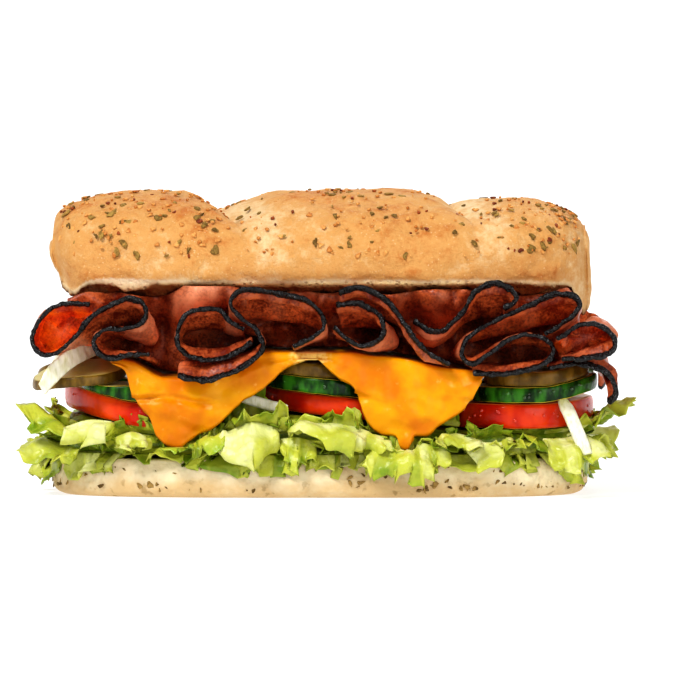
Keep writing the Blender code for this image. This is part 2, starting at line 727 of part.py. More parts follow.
# start share, end share, reach, height, end height, ruffle, waves
LEAVES = (
    (0.440, 0.560, 12.0, 17.0, 25.0, 2.6, 1.6),
    (0.470, 0.580, 13.0, 14.0, 8.0, 2.4, 1.9),
    (0.570, 0.650, 6.4, 15.5, 7.0, 2.4, 1.7),
    (0.640, 0.720, 6.4, 15.0, 7.0, 2.6, 1.8),
    (0.705, 0.785, 6.6, 16.0, 8.5, 2.6, 1.7),
    (0.770, 0.850, 6.6, 16.0, 4.6, 2.6, 1.8),
    (0.835, 0.920, 6.4, 15.0, 9.0, 2.6, 1.9),
    (0.905, 0.980, 9.0, 15.5, 11.0, 2.4, 1.4),
    (0.955, 1.055, 15.5, 17.0, 23.0, 3.0, 1.7),
    (0.940, 1.030, 12.5, 14.5, 9.5, 2.6, 1.6),
    (0.040, 0.140, 6.4, 15.0, 7.0, 2.6, 1.9),
    (0.130, 0.240, 6.4, 15.5, 8.0, 2.6, 1.9),
    (0.230, 0.340, 6.4, 15.0, 5.6, 2.6, 1.9),
    (0.330, 0.450, 6.4, 15.5, 8.0, 2.6, 1.9),
)
LEAF_COLUMNS = 10
LEAF_ROWS = (-6.0, 0.12, 0.5, 1.0)


def cheese_low(x):
    """Lowest point of the hanging cheese within a few millimetres of x."""
    hems = [cheese_hem(x + offset) for offset in (-6.0, -3.0, 0.0, 3.0, 6.0)]
    return min([hem for hem in hems if hem is not None], default=60.0)


def leaf_grid(start, end, reach, height, end_height, ruffle, waves, phase):
    """Middle surface of one ruffled leaf that leaves the bed outward."""
    grid = []
    for column in range(LEAF_COLUMNS):
        share = column / (LEAF_COLUMNS - 1)
        point, normal = outline_at((start + (end - start) * share) % 1.0)
        lobe = 0.55 + 0.45 * math.sin(math.pi * share) ** 0.6
        lobe *= 1.0 + 0.12 * math.sin(2.0 * math.pi * waves * share * 1.7 + phase)
        row = []
        for step in LEAF_ROWS:
            if step < 0.0:
                place = point + normal * step
                row.append((place.x, place.y, min(height, bed_top(place.x) - 1.6) if step < -5.0 else height))
                continue
            distance = 1.0 + (reach * lobe - 1.0) * step
            wave = math.sin(2.0 * math.pi * waves * share + phase + 0.8 * step)
            place = point + normal * (distance + 0.5 * wave * step)
            z = height + (end_height - height) * step ** 1.3 + ruffle * wave * step ** 1.2
            if abs(place.y) > 35.0:
                z = min(z, cheese_low(place.x) - 1.5)
            row.append((place.x, place.y, max(z, 12.6 if step < 0.2 else 2.0)))
        grid.append(row)
    return grid


def add_lettuce(draw):
    """One heap: the pressed bed with the ruffled leaves fused to it."""
    bed = add_bed()
    collection = new_collection("leaves")
    for index, leaf in enumerate(LEAVES):
        grid = leaf_grid(*leaf, draw.uniform(0.0, 2.0 * math.pi))
        item = add_slab(f"leaf_{index}", offset_grid(grid, LEAF_THICKNESS / 2.0),
                        offset_grid(grid, -LEAF_THICKNESS / 2.0), "lettuce", 60.0)
        bpy.context.scene.collection.objects.unlink(item)
        collection.objects.link(item)
    fuse(bed, collection)
    return bed


def drop_scraps(item):
    """Keeps the largest connected body of a fused item."""
    body = bmesh.new()
    body.from_mesh(item.data)
    bmesh.ops.triangulate(body, faces=[face for face in body.faces if len(face.verts) > 4])
    body.faces.index_update()
    seen, groups = set(), []
    for start in body.faces:
        if start.index in seen:
            continue
        group, queue = [], [start]
        seen.add(start.index)
        while queue:
            face = queue.pop()
            group.append(face)
            for edge in face.edges:
                for other in edge.link_faces:
                    if other.index not in seen:
                        seen.add(other.index)
                        queue.append(other)
        groups.append(group)
    groups.sort(key=len, reverse=True)
    for group in groups[1:]:
        bmesh.ops.delete(body, geom=group, context="FACES")
    body.to_mesh(item.data)
    body.free()
    item.data.shade_smooth()
    item.data.set_sharp_from_angle(angle=math.radians(50.0))


def centre_on_base():
    """Moves every mesh so the box stands on z = 0, centred in x and y."""
    meshes = [item.data for item in bpy.context.scene.objects if item.type == "MESH"]
    low = np.min([np.min([vertex.co for vertex in mesh.vertices], axis=0) for mesh in meshes], axis=0)
    high = np.max([np.max([vertex.co for vertex in mesh.vertices], axis=0) for mesh in meshes], axis=0)
    shift = Vector((-(low[0] + high[0]) / 2.0, -(low[1] + high[1]) / 2.0, -low[2]))
    for mesh in meshes:
        for vertex in mesh.vertices:
            vertex.co += shift


def main():
    clear_scene()
    draw = random.Random(SEED)
    crown = add_crown()
    add_crown_flakes(crown, draw)
    drop_scraps(crown)
    heel = add_heel()
    add_heel_flakes(heel, draw)
    drop_scraps(heel)
    lettuce = add_lettuce(draw)
    drop_scraps(lettuce)
    for name, disc in disc_table().items():
        add_disc(name, *disc)
    for name, hem in CHEESE_HEMS.items():
        add_cheese(name, hem)
    for number, (name, bends) in enumerate(MEAT_FOLDS.items()):
        add_meat(name, bends, MEAT_FRONT + 0.5 * ((number * 2) % 5))
    add_onions()
    centre_on_base()


main()
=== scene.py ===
"""Dressed scene of the submarine sandwich: fine shapes, finishes, light and camera.

Every piece is built in the millimetre layout of the CAD part, moved into its
frame, given a procedural finish and set to ride on the one body.
"""
from __future__ import annotations

import logging
import math
from abc import ABC, abstractmethod
from dataclasses import dataclass, field, replace
from enum import Enum
from typing import Any, Callable, Mapping, Sequence, Union
import bmesh
import bpy
import numpy as np
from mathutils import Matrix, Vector


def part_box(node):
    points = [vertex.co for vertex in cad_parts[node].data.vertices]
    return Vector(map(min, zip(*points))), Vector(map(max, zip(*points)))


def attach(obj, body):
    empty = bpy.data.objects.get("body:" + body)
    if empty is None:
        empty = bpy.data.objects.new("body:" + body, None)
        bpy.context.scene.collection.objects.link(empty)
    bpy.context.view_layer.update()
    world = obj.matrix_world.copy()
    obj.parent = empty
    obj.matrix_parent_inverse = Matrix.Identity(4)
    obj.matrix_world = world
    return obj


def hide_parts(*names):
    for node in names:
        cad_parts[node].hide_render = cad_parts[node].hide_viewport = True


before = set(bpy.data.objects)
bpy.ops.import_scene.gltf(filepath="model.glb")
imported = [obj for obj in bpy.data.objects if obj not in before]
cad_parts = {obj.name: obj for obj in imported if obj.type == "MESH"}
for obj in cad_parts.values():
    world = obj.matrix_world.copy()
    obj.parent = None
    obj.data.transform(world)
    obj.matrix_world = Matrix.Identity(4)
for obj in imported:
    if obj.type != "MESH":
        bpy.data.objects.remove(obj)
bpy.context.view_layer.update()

MM = 0.001
PHOTO_PIXELS = 680
log = logging.getLogger("sandwich")
Array = np.ndarray


# Small maths on arrays
def smooth(value: Array, start: float, end: float) -> Array:
    """Rises smoothly from 0 at start to 1 at end.

    Args:
        value: Where to read the curve.
        start: Last place with 0.
        end: First place with 1.

    Returns:
        The share at each value.
    """
    share = np.clip((np.asarray(value, float) - start) / (end - start), 0.0, 1.0)
    return share * share * (3.0 - 2.0 * share)


def ramp(value: Array, width: float) -> Array:
    """A soft kink: 0 well below zero and the value itself well above.

    Args:
        value: Where to read the curve.
        width: How wide the kink is.

    Returns:
        The curve at each value.
    """
    return width * np.logaddexp(0.0, np.asarray(value, float) / width)


def bell(value: Array, centre: float, width: float) -> Array:
    """A smooth bump of height 1.

    Args:
        value: Where to read the bump.
        centre: Its middle.
        width: Its reach to 1/e.

    Returns:
        The bump at each value.
    """
    return np.exp(-((np.asarray(value, float) - centre) / width) ** 2)


def spow(value: Array, power: float) -> Array:
    """A power that keeps the sign of its base.

    Args:
        value: The base.
        power: The exponent.

    Returns:
        The signed power.
    """
    return np.sign(value) * np.abs(value) ** power


@dataclass(frozen=True)
class Ripple:
    """Smooth random relief made of plane waves, the same on every run.

    Attributes:
        wavelength: Typical distance between crests, in millimetres.
        seed: Picks one pattern.
        waves: How many waves are summed.
    """

    wavelength: float
    seed: int
    waves: int = 26

    def __call__(self, points: Array) -> Array:
        """Reads the relief.

        Args:
            points: Array whose last axis is x, y, z in millimetres.

        Returns:
            Heights of about -1.5 to 1.5.
        """
        draw = np.random.default_rng(self.seed)
        ways = draw.normal(size=(self.waves, 3))
        ways /= np.linalg.norm(ways, axis=1, keepdims=True)
        pace = 2.0 * math.pi / (self.wavelength * draw.uniform(0.7, 1.5, self.waves))
        phase = draw.uniform(0.0, 2.0 * math.pi, self.waves)
        total = np.zeros(points.shape[:-1])
        for way, speed, start in zip(ways, pace, phase):
            total += np.cos(points @ way * speed + start)
        return total * math.sqrt(2.0 / self.waves)


def spline(bends: Sequence[Sequence[float]], spacing: float) -> Array:
    """A smooth curve through bends, read at equal steps.

    Args:
        bends: Points that the curve passes through.
        spacing: Distance between the returned points.

    Returns:
        The points, one row each.
    """
    knots = np.array([bends[0], *bends, bends[-1]], float)
    pieces = []
    share = np.linspace(0.0, 1.0, 40, endpoint=False)[:, None]
    for p0, p1, p2, p3 in zip(knots[:-3], knots[1:-2], knots[2:-1], knots[3:]):
        pieces.append(0.5 * (2.0 * p1 + (p2 - p0) * share + (2.0 * p0 - 5.0 * p1 + 4.0 * p2 - p3) * share ** 2
                             + (3.0 * p1 - p0 - 3.0 * p2 + p3) * share ** 3))
    dense = np.vstack([*pieces, knots[-1][None]])
    reach = np.concatenate([[0.0], np.cumsum(np.linalg.norm(np.diff(dense, axis=0), axis=1))])
    places = np.linspace(0.0, reach[-1], max(3, int(reach[-1] / spacing) + 1))
    return np.stack([np.interp(places, reach, dense[:, axis]) for axis in range(dense.shape[1])], axis=1)


def grid_normals(grid: Array) -> Array:
    """Unit normals of a grid of points.

    Args:
        grid: Rows by columns by 3.

    Returns:
        An array of the same shape.
    """
    normal = np.cross(np.gradient(grid, axis=0), np.gradient(grid, axis=1))
    return normal / np.maximum(np.linalg.norm(normal, axis=-1, keepdims=True), 1e-9)


@dataclass
class Shape:
    """Points, faces and named values on the points of one mesh.

    Attributes:
        points: One row a point, millimetres in the CAD layout.
        faces: Index tuples.
        marks: Named values, one a point.
    """

    points: Array
    faces: list[tuple[int, ...]]
    marks: dict[str, Array] = field(default_factory=dict)

    @staticmethod
    def sheet(near: Array, far: Array, marks: Mapping[str, Array], bulge: float = 0.0) -> Shape:
        """A closed sheet between two grids, with a rounded rim.

        Args:
            near: One side, rows by columns by 3.
            far: The other side, of the same size.
            marks: Values on the grid, shared by both sides or, with a leading axis of two, one for each.
            bulge: How far the rim's middle stands out.

        Returns:
            The closed shape.
        """
        rows, columns = near.shape[:2]
        index = np.arange(rows * columns).reshape(rows, columns)
        a, b, c, d = index[:-1, :-1], index[:-1, 1:], index[1:, 1:], index[1:, :-1]
        front = np.stack([a, b, c, d], axis=-1).reshape(-1, 4)
        back = front[:, ::-1] + rows * columns
        rim = np.concatenate([index[0], index[1:, -1], index[-1, -2::-1], index[-2:0:-1, 0]])
        middle = (near + far) / 2.0
        flat = middle.reshape(-1, 3)
        core = np.clip(np.stack(np.meshgrid(np.arange(rows), np.arange(columns), indexing="ij"), -1),
                       [1, 1], [rows - 2, columns - 2]).reshape(-1, 2)
        outward = flat[rim] - middle[core[rim, 0], core[rim, 1]]
        outward /= np.maximum(np.linalg.norm(outward, axis=1, keepdims=True), 1e-9)
        ring = flat[rim] + outward * bulge
        start = 2 * rows * columns
        order = np.arange(len(rim))
        after = np.roll(order, -1)
        edge_near = np.stack([rim[after], rim[order], start + order, start + after], axis=-1)
        edge_far = np.stack([start + after, start + order, rim[order] + rows * columns,
                             rim[after] + rows * columns], axis=-1)
        faces = np.vstack([front, back, edge_near, edge_far])
        values = {}
        for name, value in marks.items():
            first, second = (value[0], value[1]) if value.ndim == 3 else (value, value)
            values[name] = np.concatenate([first.ravel(), second.ravel(),
                                           (first.ravel()[rim] + second.ravel()[rim]) / 2.0])
        points = np.vstack([near.reshape(-1, 3), far.reshape(-1, 3), ring])
        return Shape(points, [tuple(face) for face in faces.tolist()], values)

    @staticmethod
    def tube(rings: Array, marks: Mapping[str, Array]) -> Shape:
        """A closed body of rings, with a fan of faces at each end.

        Args:
            rings: Rings by sides by 3.
            marks: Values on the rings.

        Returns:
            The shape.
        """
        count, sides = rings.shape[:2]
        index = np.arange(count * sides).reshape(count, sides)
        after = np.roll(index, -1, axis=1)
        quads = np.stack([index[:-1], after[:-1], after[1:], index[1:]], axis=-1).reshape(-1, 4)
        faces: list[tuple[int, ...]] = [tuple(face) for face in quads.tolist()]
        points = rings.reshape(-1, 3)
        values = {name: value.ravel() for name, value in marks.items()}
        ends = np.stack([rings[0].mean(axis=0), rings[-1].mean(axis=0)])
        first, last = count * sides, count * sides + 1
        faces += [(first, int(after[0, side]), side) for side in range(sides)]
        faces += [(last, int(index[-1, side]), int(after[-1, side])) for side in range(sides)]
        points = np.vstack([points, ends])
        values = {name: np.concatenate([value.ravel(), [value[0].mean(), value[-1].mean()]])
                  for name, value in marks.items()}
        return Shape(points, faces, values)

    @staticmethod
    def joined(shapes: Sequence[Shape]) -> Shape:
        """Several shapes as one.

        Args:
            shapes: Shapes with the same marks.

        Returns:
            One shape that holds them all.
        """
        faces: list[tuple[int, ...]] = []
        start = 0
        for shape in shapes:
            faces += [tuple(index + start for index in face) for face in shape.faces]
            start += len(shape.points)
        marks = {name: np.concatenate([shape.marks[name] for shape in shapes]) for name in shapes[0].marks}
        return Shape(np.vstack([shape.points for shape in shapes]), faces, marks)


# The CAD layout, in millimetres
@dataclass(frozen=True)
class Layout:
    """Shared heights and outlines of the sandwich, as in the CAD part.

    Attributes:
        x0: Left end of the bread.
        x1: Right end of the bread.
        half_depth: Half of the bread's depth.
        exponent: Squareness of the bread's outline from above.
        cut_height: Height of the upper half's cut edge.
        crown_height: Top of the upper half.
        belly: How far the upper crumb face hangs down inside.
        heel_height: Height of the lower half.
    """

    x0: float = -80.5
    x1: float = 74.5
    half_depth: float = 37.5
    exponent: float = 3.2
    cut_height: float = 61.0
    crown_height: float = 87.6
    belly: float = 7.0
    heel_height: float = 11.0

    @property
    def middle(self) -> float:
        """Middle of the bread along x."""
        return (self.x0 + self.x1) / 2.0

    @property
    def half_length(self) -> float:
        """Half of the bread's length."""
        return (self.x1 - self.x0) / 2.0

    def reach(self, x: Array, left: float, right: float) -> Array:
        """Share of the full width that the bread keeps at x."""
        power = np.where(x < self.middle, left, right)
        share = np.clip(np.abs(x - self.middle) / self.half_length, 0.0, 1.0)
        return (1.0 - share ** power) ** (1.0 / power)

    def cut_edge(self, x: Array) -> Array:
        """Height of the upper half's cut edge."""
        hook = 8.6 * bell(x, 73.4, 2.6) + 3.6 * bell(x, -76.0, 5.0)
        return self.cut_height - smooth(x, 50.0, 68.0) - hook

    def cut_drop(self, x: Array, y: Array) -> Array:
        """How far the upper crumb face hangs below its edge."""
        along = smooth(x, self.x0 + 2.0, self.x0 + 16.0) * (1.0 - smooth(x, self.x1 - 17.0, self.x1 - 5.0))
        return self.belly * along * (1.0 - np.clip(np.abs(y) / 36.0, 0.0, 1.0) ** 2.0)

    def tomato_low(self, column: int, x: Array) -> Array:
        """Lower side of the tomato slice in one of the three columns."""
        if column == 0:
            return 20.0 + 0.23 * ramp(-55.0 - x, 2.0)
        if column == 1:
            return 25.3 - 0.1 * (x + 20.0)
        return 19.7 + 0.12 * ramp(x - 66.0, 2.0)

    def cucumber_low(self, column: int, x: Array) -> Array:
        """Lower side of the cucumber slices in one column."""
        if column == 2:
            return self.tomato_low(2, x) + 7.5 + 0.16 * ramp(x - 62.0, 2.0)
        return self.tomato_low(column, x) + (7.2, 6.2)[column]

    def bed_top(self, x: Array) -> Array:
        """Upper side of the lettuce bed."""
        height = self.tomato_low(0, x)
        height = height + (self.tomato_low(1, x) - height) * smooth(x, -22.6, -17.0)
        height = height + (self.tomato_low(2, x) - height) * smooth(x, 28.0, 34.0)
        return height - 0.6

    def cheese_top(self, x: Array) -> Array:
        """Upper side of the melted cheese."""
        height = (40.6 - smooth(x, -62.0, -57.0) - 4.9 * smooth(x, -58.0, -47.0)
                  + 7.2 * smooth(x, -36.0, -19.0))
        return height - 1.2 * smooth(x, 6.0, 14.0) - 3.9 * smooth(x, 14.0, 40.0)

    def bed_under_meat(self, x: Array) -> Array:
        """Top of what the meat lies on, well inside."""
        left = 40.4 - 0.065 * ramp(-62.0 - x, 1.0)
        height = left + (self.cheese_top(x) - left) * smooth(x, -61.0, -57.0)
        right = self.cucumber_low(2, x) + 8.75
        height = height + (np.maximum(right, 36.4) - height) * smooth(x, 38.0, 42.0)
        return height - 11.0 * smooth(x, 76.5, 80.0)

    def meat_floor(self, x: Array) -> Array:
        """Lowest reach of the meat folds at the front."""
        height = 39.2 - 5.6 * smooth(x, -55.0, -42.0) + 9.6 * smooth(x, -34.0, -14.0)
        height = height - 8.2 * smooth(x, 22.0, 44.0) + 1.6 * smooth(x, 58.0, 62.0)
        return height - 11.0 * smooth(x, 76.5, 80.0)

    def outline(self, share: Array, inset: float = 0.0) -> tuple[Array, Array]:
        """Points and outward directions on the bread's outline from above.

        Args:
            share: Where round the outline, 0 to 1 from the right end.
            inset: How far the outline is drawn in.

        Returns:
            Points and unit directions, each with x and y.
        """
        angle = 2.0 * math.pi * np.asarray(share, float)
        power = 2.0 / self.exponent
        half_x, half_y = self.half_length - inset, self.half_depth - inset
        point = np.stack([self.middle + half_x * spow(np.cos(angle), power),
                          half_y * spow(np.sin(angle), power)], -1)
        way = np.stack([spow(np.cos(angle), 2.0 - power) / half_x, spow(np.sin(angle), 2.0 - power) / half_y],
                       -1)
        return point, way / np.linalg.norm(way, axis=-1, keepdims=True)


LAYOUT = Layout()


def frame_shift() -> Array:
    """Offset from the layout to the row frame, from the upper bread's box."""
    low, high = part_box("top_bun")
    return np.array([low.x / MM - LAYOUT.x0, (low.y + high.y) / 2.0 / MM, 0.0])


# Shader maths as Python expressions
Value = Union["Sock", float, Sequence[float]]


class Kind(Enum):
    """What a socket carries."""

    NUMBER = "number"
    VECTOR = "vector"
    COLOUR = "colour"


def srgb(red: int, green: int, blue: int) -> tuple[float, float, float]:
    """A display colour as linear light.

    Args:
        red: 0 to 255.
        green: 0 to 255.
        blue: 0 to 255.

    Returns:
        Linear red, green and blue.
    """
    def linear(level: int) -> float:
        share = level / 255.0
        return share / 12.92 if share <= 0.04045 else ((share + 0.055) / 1.055) ** 2.4
    return linear(red), linear(green), linear(blue)


@dataclass
class Sock:
    """An output socket that takes part in Python expressions.

    Attributes:
        graph: The graph it belongs to.
        socket: Blender's socket.
        kind: What it carries.
    """

    graph: Graph
    socket: bpy.types.NodeSocket
    kind: Kind = Kind.NUMBER

    def _join(self, operation: str, other: Value, swapped: bool = False) -> Sock:
        pair = (other, self) if swapped else (self, other)
        return self.graph.maths(operation, *pair)

    def __add__(self, other: Value) -> Sock:
        return self._join("ADD", other)

    def __radd__(self, other: Value) -> Sock:
        return self._join("ADD", other, True)

    def __sub__(self, other: Value) -> Sock:
        return self._join("SUBTRACT", other)

    def __rsub__(self, other: Value) -> Sock:
        return self._join("SUBTRACT", other, True)

    def __mul__(self, other: Value) -> Sock:
        return self._join("MULTIPLY", other)

    def __rmul__(self, other: Value) -> Sock:
        return self._join("MULTIPLY", other, True)

    def __truediv__(self, other: Value) -> Sock:
        return self._join("DIVIDE", other)

    def __rtruediv__(self, other: Value) -> Sock:
        return self._join("DIVIDE", other, True)

    def __pow__(self, other: Value) -> Sock:
        return self._join("POWER", other)

    def __rpow__(self, other: Value) -> Sock:
        return self._join("POWER", other, True)

    def __neg__(self) -> Sock:
        return self._join("MULTIPLY", -1.0)

    def between(self, low: float, high: float) -> Sock:
        """A smooth step of this value from 0 at low to 1 at high."""
        settings = {"interpolation_type": "SMOOTHSTEP"}
        return self.graph.node("ShaderNodeMapRange", settings,
                               {"Value": self, "From Min": low, "From Max": high})

    def clamped(self) -> Sock:
        """This value kept within 0 and 1."""
        return self.graph.node("ShaderNodeClamp", {}, {"Value": self})


class Graph:
    """Builds the shader nodes of one material or world."""

    def __init__(self, owner: bpy.types.Material | bpy.types.World) -> None:
        """Starts with no nodes.

        Args:
            owner: What the nodes belong to.
        """
        owner.use_nodes = True
        self.tree = owner.node_tree
        self.tree.nodes.clear()

    def node(self, kind: str, settings: Mapping[str, Any], values: Mapping[Any, Value],
             output: Any = 0, carries: Kind = Kind.NUMBER) -> Sock:
        """Adds one node.

        Args:
            kind: Blender's node type.
            settings: Properties, set before the sockets.
            values: Constants or sockets by input name or number.
            output: Name or number of the output wanted.
            carries: What that output carries.

        Returns:
            The output socket.
        """
        node = self.tree.nodes.new(kind)
        for name, value in settings.items():
            setattr(node, name, value)
        for name, value in values.items():
            socket = node.inputs[name]
            if isinstance(value, Sock):
                self.tree.links.new(value.socket, socket)
            elif socket.type == "RGBA" and len(value) == 3:
                socket.default_value = (*value, 1.0)
            else:
                socket.default_value = value
        return Sock(self, node.outputs[output], carries)

    def maths(self, operation: str, first: Value, second: Value = 0.0) -> Sock:
        """A Math node for numbers, or Vector Math where either side is more."""
        def is_number(value: Value) -> bool:
            return value.kind is Kind.NUMBER if isinstance(value, Sock) else isinstance(value, (int, float))
        if is_number(first) and is_number(second):
            return self.node("ShaderNodeMath", {"operation": operation}, {0: first, 1: second})
        sides = [self.spread(side) if is_number(side) else side for side in (first, second)]
        return self.node("ShaderNodeVectorMath", {"operation": operation}, {0: sides[0], 1: sides[1]}, 0,
                         Kind.VECTOR)

    def spread(self, value: Value) -> Value:
        """A number as three equal parts."""
        if isinstance(value, Sock):
            return self.node("ShaderNodeCombineXYZ", {}, {"X": value, "Y": value, "Z": value}, 0, Kind.VECTOR)
        return (value, value, value)

    def mix(self, share: Value, first: Value, second: Value) -> Sock:
        """Blends two colours."""
        return self.node("ShaderNodeMix", {"data_type": "RGBA"}, {0: share, 6: first, 7: second}, 2,
                         Kind.COLOUR)

    def mark(self, name: str) -> Sock:
        """A named value that the mesh carries."""
        return self.node("ShaderNodeAttribute", {"attribute_name": name}, {}, "Fac")

    def place(self) -> Sock:
        """The place on the object, in metres."""
        return self.node("ShaderNodeTexCoord", {}, {}, "Object", Kind.VECTOR)

    def noise(self, size_mm: float, detail: float = 3.0, where: Value | None = None,
              rough: float = 0.5) -> Sock:
        """Cloudy noise with patches of about a given size, 0 to 1."""
        place = self.place() if where is None else where
        values = {"Vector": place, "Scale": 1.0 / (size_mm * MM), "Detail": detail, "Roughness": rough}
        return self.node("ShaderNodeTexNoise", {}, values, "Fac")

    def cells(self, size_mm: float, where: Value | None = None) -> Sock:
        """Distance to, or random colour of, scattered cells."""
        place = self.place() if where is None else where
        values = {"Vector": place, "Scale": 1.0 / (size_mm * MM)}
        return self.node("ShaderNodeTexVoronoi", {}, values, "Distance")

    def bump(self, height: Sock, depth_mm: float, strength: float = 1.0) -> Sock:
        """Turns a height of 0 to 1 into a tilted normal."""
        values = {"Height": height, "Distance": depth_mm * MM, "Strength": strength}
        return self.node("ShaderNodeBump", {}, values, "Normal", Kind.VECTOR)

    def close(self, values: Mapping[str, Value]) -> None:
        """Ends a material with one principled shader.

        Args:
            values: Its inputs.
        """
        shader = self.node("ShaderNodeBsdfPrincipled", {}, values, "BSDF")
        output = self.tree.nodes.new("ShaderNodeOutputMaterial")
        self.tree.links.new(shader.socket, output.inputs["Surface"])


@dataclass(frozen=True)
class Finish(ABC):
    """A named surface finish.

    Attributes:
        name: The material's name.
    """

    name: str

    @abstractmethod
    def inputs(self, graph: Graph) -> dict[str, Value]:
        """Inputs of the principled shader."""

    def material(self) -> bpy.types.Material:
        """The material, made once and then shared."""
        known = bpy.data.materials.get(self.name)
        if known is not None:
            return known
        made = bpy.data.materials.new(self.name)
        graph = Graph(made)
        graph.close(self.inputs(graph))
        return made


@dataclass(frozen=True)
class CrustFinish(Finish):
    """Baked crust that is golden on its ridges and pale where it is stretched or cut, with painted shade low
    on its flank and on the crumb face.

    Attributes:
        pale: Colour of stretched crust.
        golden: Usual colour.
        browned: Colour of the most baked places.
        fuzz: Colour of the frayed lower margin.
        crumb: Colour of the cut face.
        soaked: Colour of painted shade on the crumb face, further in under the crown and at the pore centres.
    """

    name: str = "crust_finish"
    pale: tuple[float, float, float] = srgb(230, 200, 152)
    golden: tuple[float, float, float] = srgb(212, 156, 90)
    browned: tuple[float, float, float] = srgb(190, 112, 46)
    fuzz: tuple[float, float, float] = srgb(238, 222, 190)
    crumb: tuple[float, float, float] = srgb(228, 194, 134)
    soaked: tuple[float, float, float] = srgb(126, 74, 32)

    def inputs(self, graph: Graph) -> dict[str, Value]:
        bake = graph.mark("bake")
        cut = graph.mark("cut")
        # This mix carries real browning and the painted shade of the lower flank.
        heat = bake + (graph.noise(8.0, 5.0) - 0.5) * 0.6 + (graph.noise(1.6, 5.0, None, 0.75) - 0.5) * 1.0
        colour = graph.mix(heat.between(0.0, 0.6), self.pale, self.golden)
        colour = graph.mix(heat.between(0.6, 1.1), colour, self.browned)
        powder = 1.0 - graph.cells(1.2).between(0.12, 0.26)
        colour = graph.mix(powder * graph.noise(5.0, 2.0).between(0.4, 0.6) * 0.5, colour, self.pale)
        fuzz = (graph.mark("low") + (graph.noise(0.8, 3.0) - 0.5) * 0.8).between(0.35, 0.8)
        colour = graph.mix(fuzz * 0.75, colour, self.fuzz)
        specks = graph.cells(2.6).between(0.1, 0.2)
        colour = graph.mix((1.0 - specks) * heat.between(0.4, 1.0) * 0.35, colour, self.browned)
        pores = graph.cells(1.5).between(0.1, 0.45)
        # Painted shade on the cut face: darker further in from the edge under the crown, and darker at the
        # pore centres.
        crumb = graph.mix(graph.mark("inner") + (graph.noise(5.0, 2.0) - 0.5) * 0.4, self.crumb, self.soaked)
        crumb = graph.mix(pores * 0.5 + 0.5, self.soaked, crumb)
        colour = graph.mix(cut, colour, crumb)
        grain = graph.noise(0.9, 5.0, None, 0.7) * 0.7 + graph.noise(4.0, 2.0) * 0.7
        height = grain * (1.0 - cut) + (graph.noise(0.7, 3.0) * 0.6 + pores * 0.7) * cut
        return {"Base Color": colour, "Roughness": 0.62 + cut * 0.25, "Normal": graph.bump(height, 0.9, 0.9),
                "Specular IOR Level": 0.2, "Subsurface Weight": 0.05,
                "Subsurface Radius": (0.003, 0.0015, 0.0008)}


@dataclass(frozen=True)
class HeelFinish(Finish):
    """Pale soft bread with baked-in herb flecks, mostly near the base.

    Attributes:
        pale: Main colour.
        warm: Colour of warmer patches.
        fleck: Colour of the herb flecks.
    """

    name: str = "heel_finish"
    pale: tuple[float, float, float] = srgb(232, 216, 180)
    warm: tuple[float, float, float] = srgb(212, 180, 130)
    fleck: tuple[float, float, float] = srgb(136, 104, 48)

    def inputs(self, graph: Graph) -> dict[str, Value]:
        low = graph.mark("low")
        cut = graph.mark("cut")
        warmth = graph.noise(14.0, 3.0) + low * 0.35 + (graph.noise(2.2, 2.0) - 0.5) * 0.35
        colour = graph.mix(warmth.between(0.35, 0.95), self.pale, self.warm)
        stain = graph.noise(3.0, 3.0).between(0.6, 0.7) * (0.3 + low * 0.7)
        colour = graph.mix(stain * 0.5 * (1.0 - cut), colour, self.fleck)
        height = graph.noise(1.1, 4.0) * 0.6 + graph.cells(1.3) * 0.4
        return {"Base Color": colour, "Roughness": 0.72, "Normal": graph.bump(height, 0.35, 0.8),
                "Specular IOR Level": 0.2, "Subsurface Weight": 0.06,
                "Subsurface Radius": (0.003, 0.0015, 0.0008)}


@dataclass(frozen=True)
class FleckFinish(Finish):
    """Dry flakes and crumbs in one tone range.

    Attributes:
        dark: Darkest tone.
        light: Lightest tone.
        roughness: Surface roughness.
    """

    name: str = "herb_finish"
    dark: tuple[float, float, float] = srgb(92, 66, 24)
    light: tuple[float, float, float] = srgb(168, 134, 66)
    roughness: float = 0.7

    def inputs(self, graph: Graph) -> dict[str, Value]:
        tone = graph.mark("tone") * 0.5 + (graph.noise(0.8, 3.0, None, 0.65) - 0.5) * 1.4 + 0.25
        return {"Base Color": graph.mix(tone.between(0.1, 0.95), self.dark, self.light),
                "Roughness": self.roughness,
                "Specular IOR Level": 0.2, "Normal": graph.bump(graph.noise(0.35, 2.0), 0.08, 0.6)}


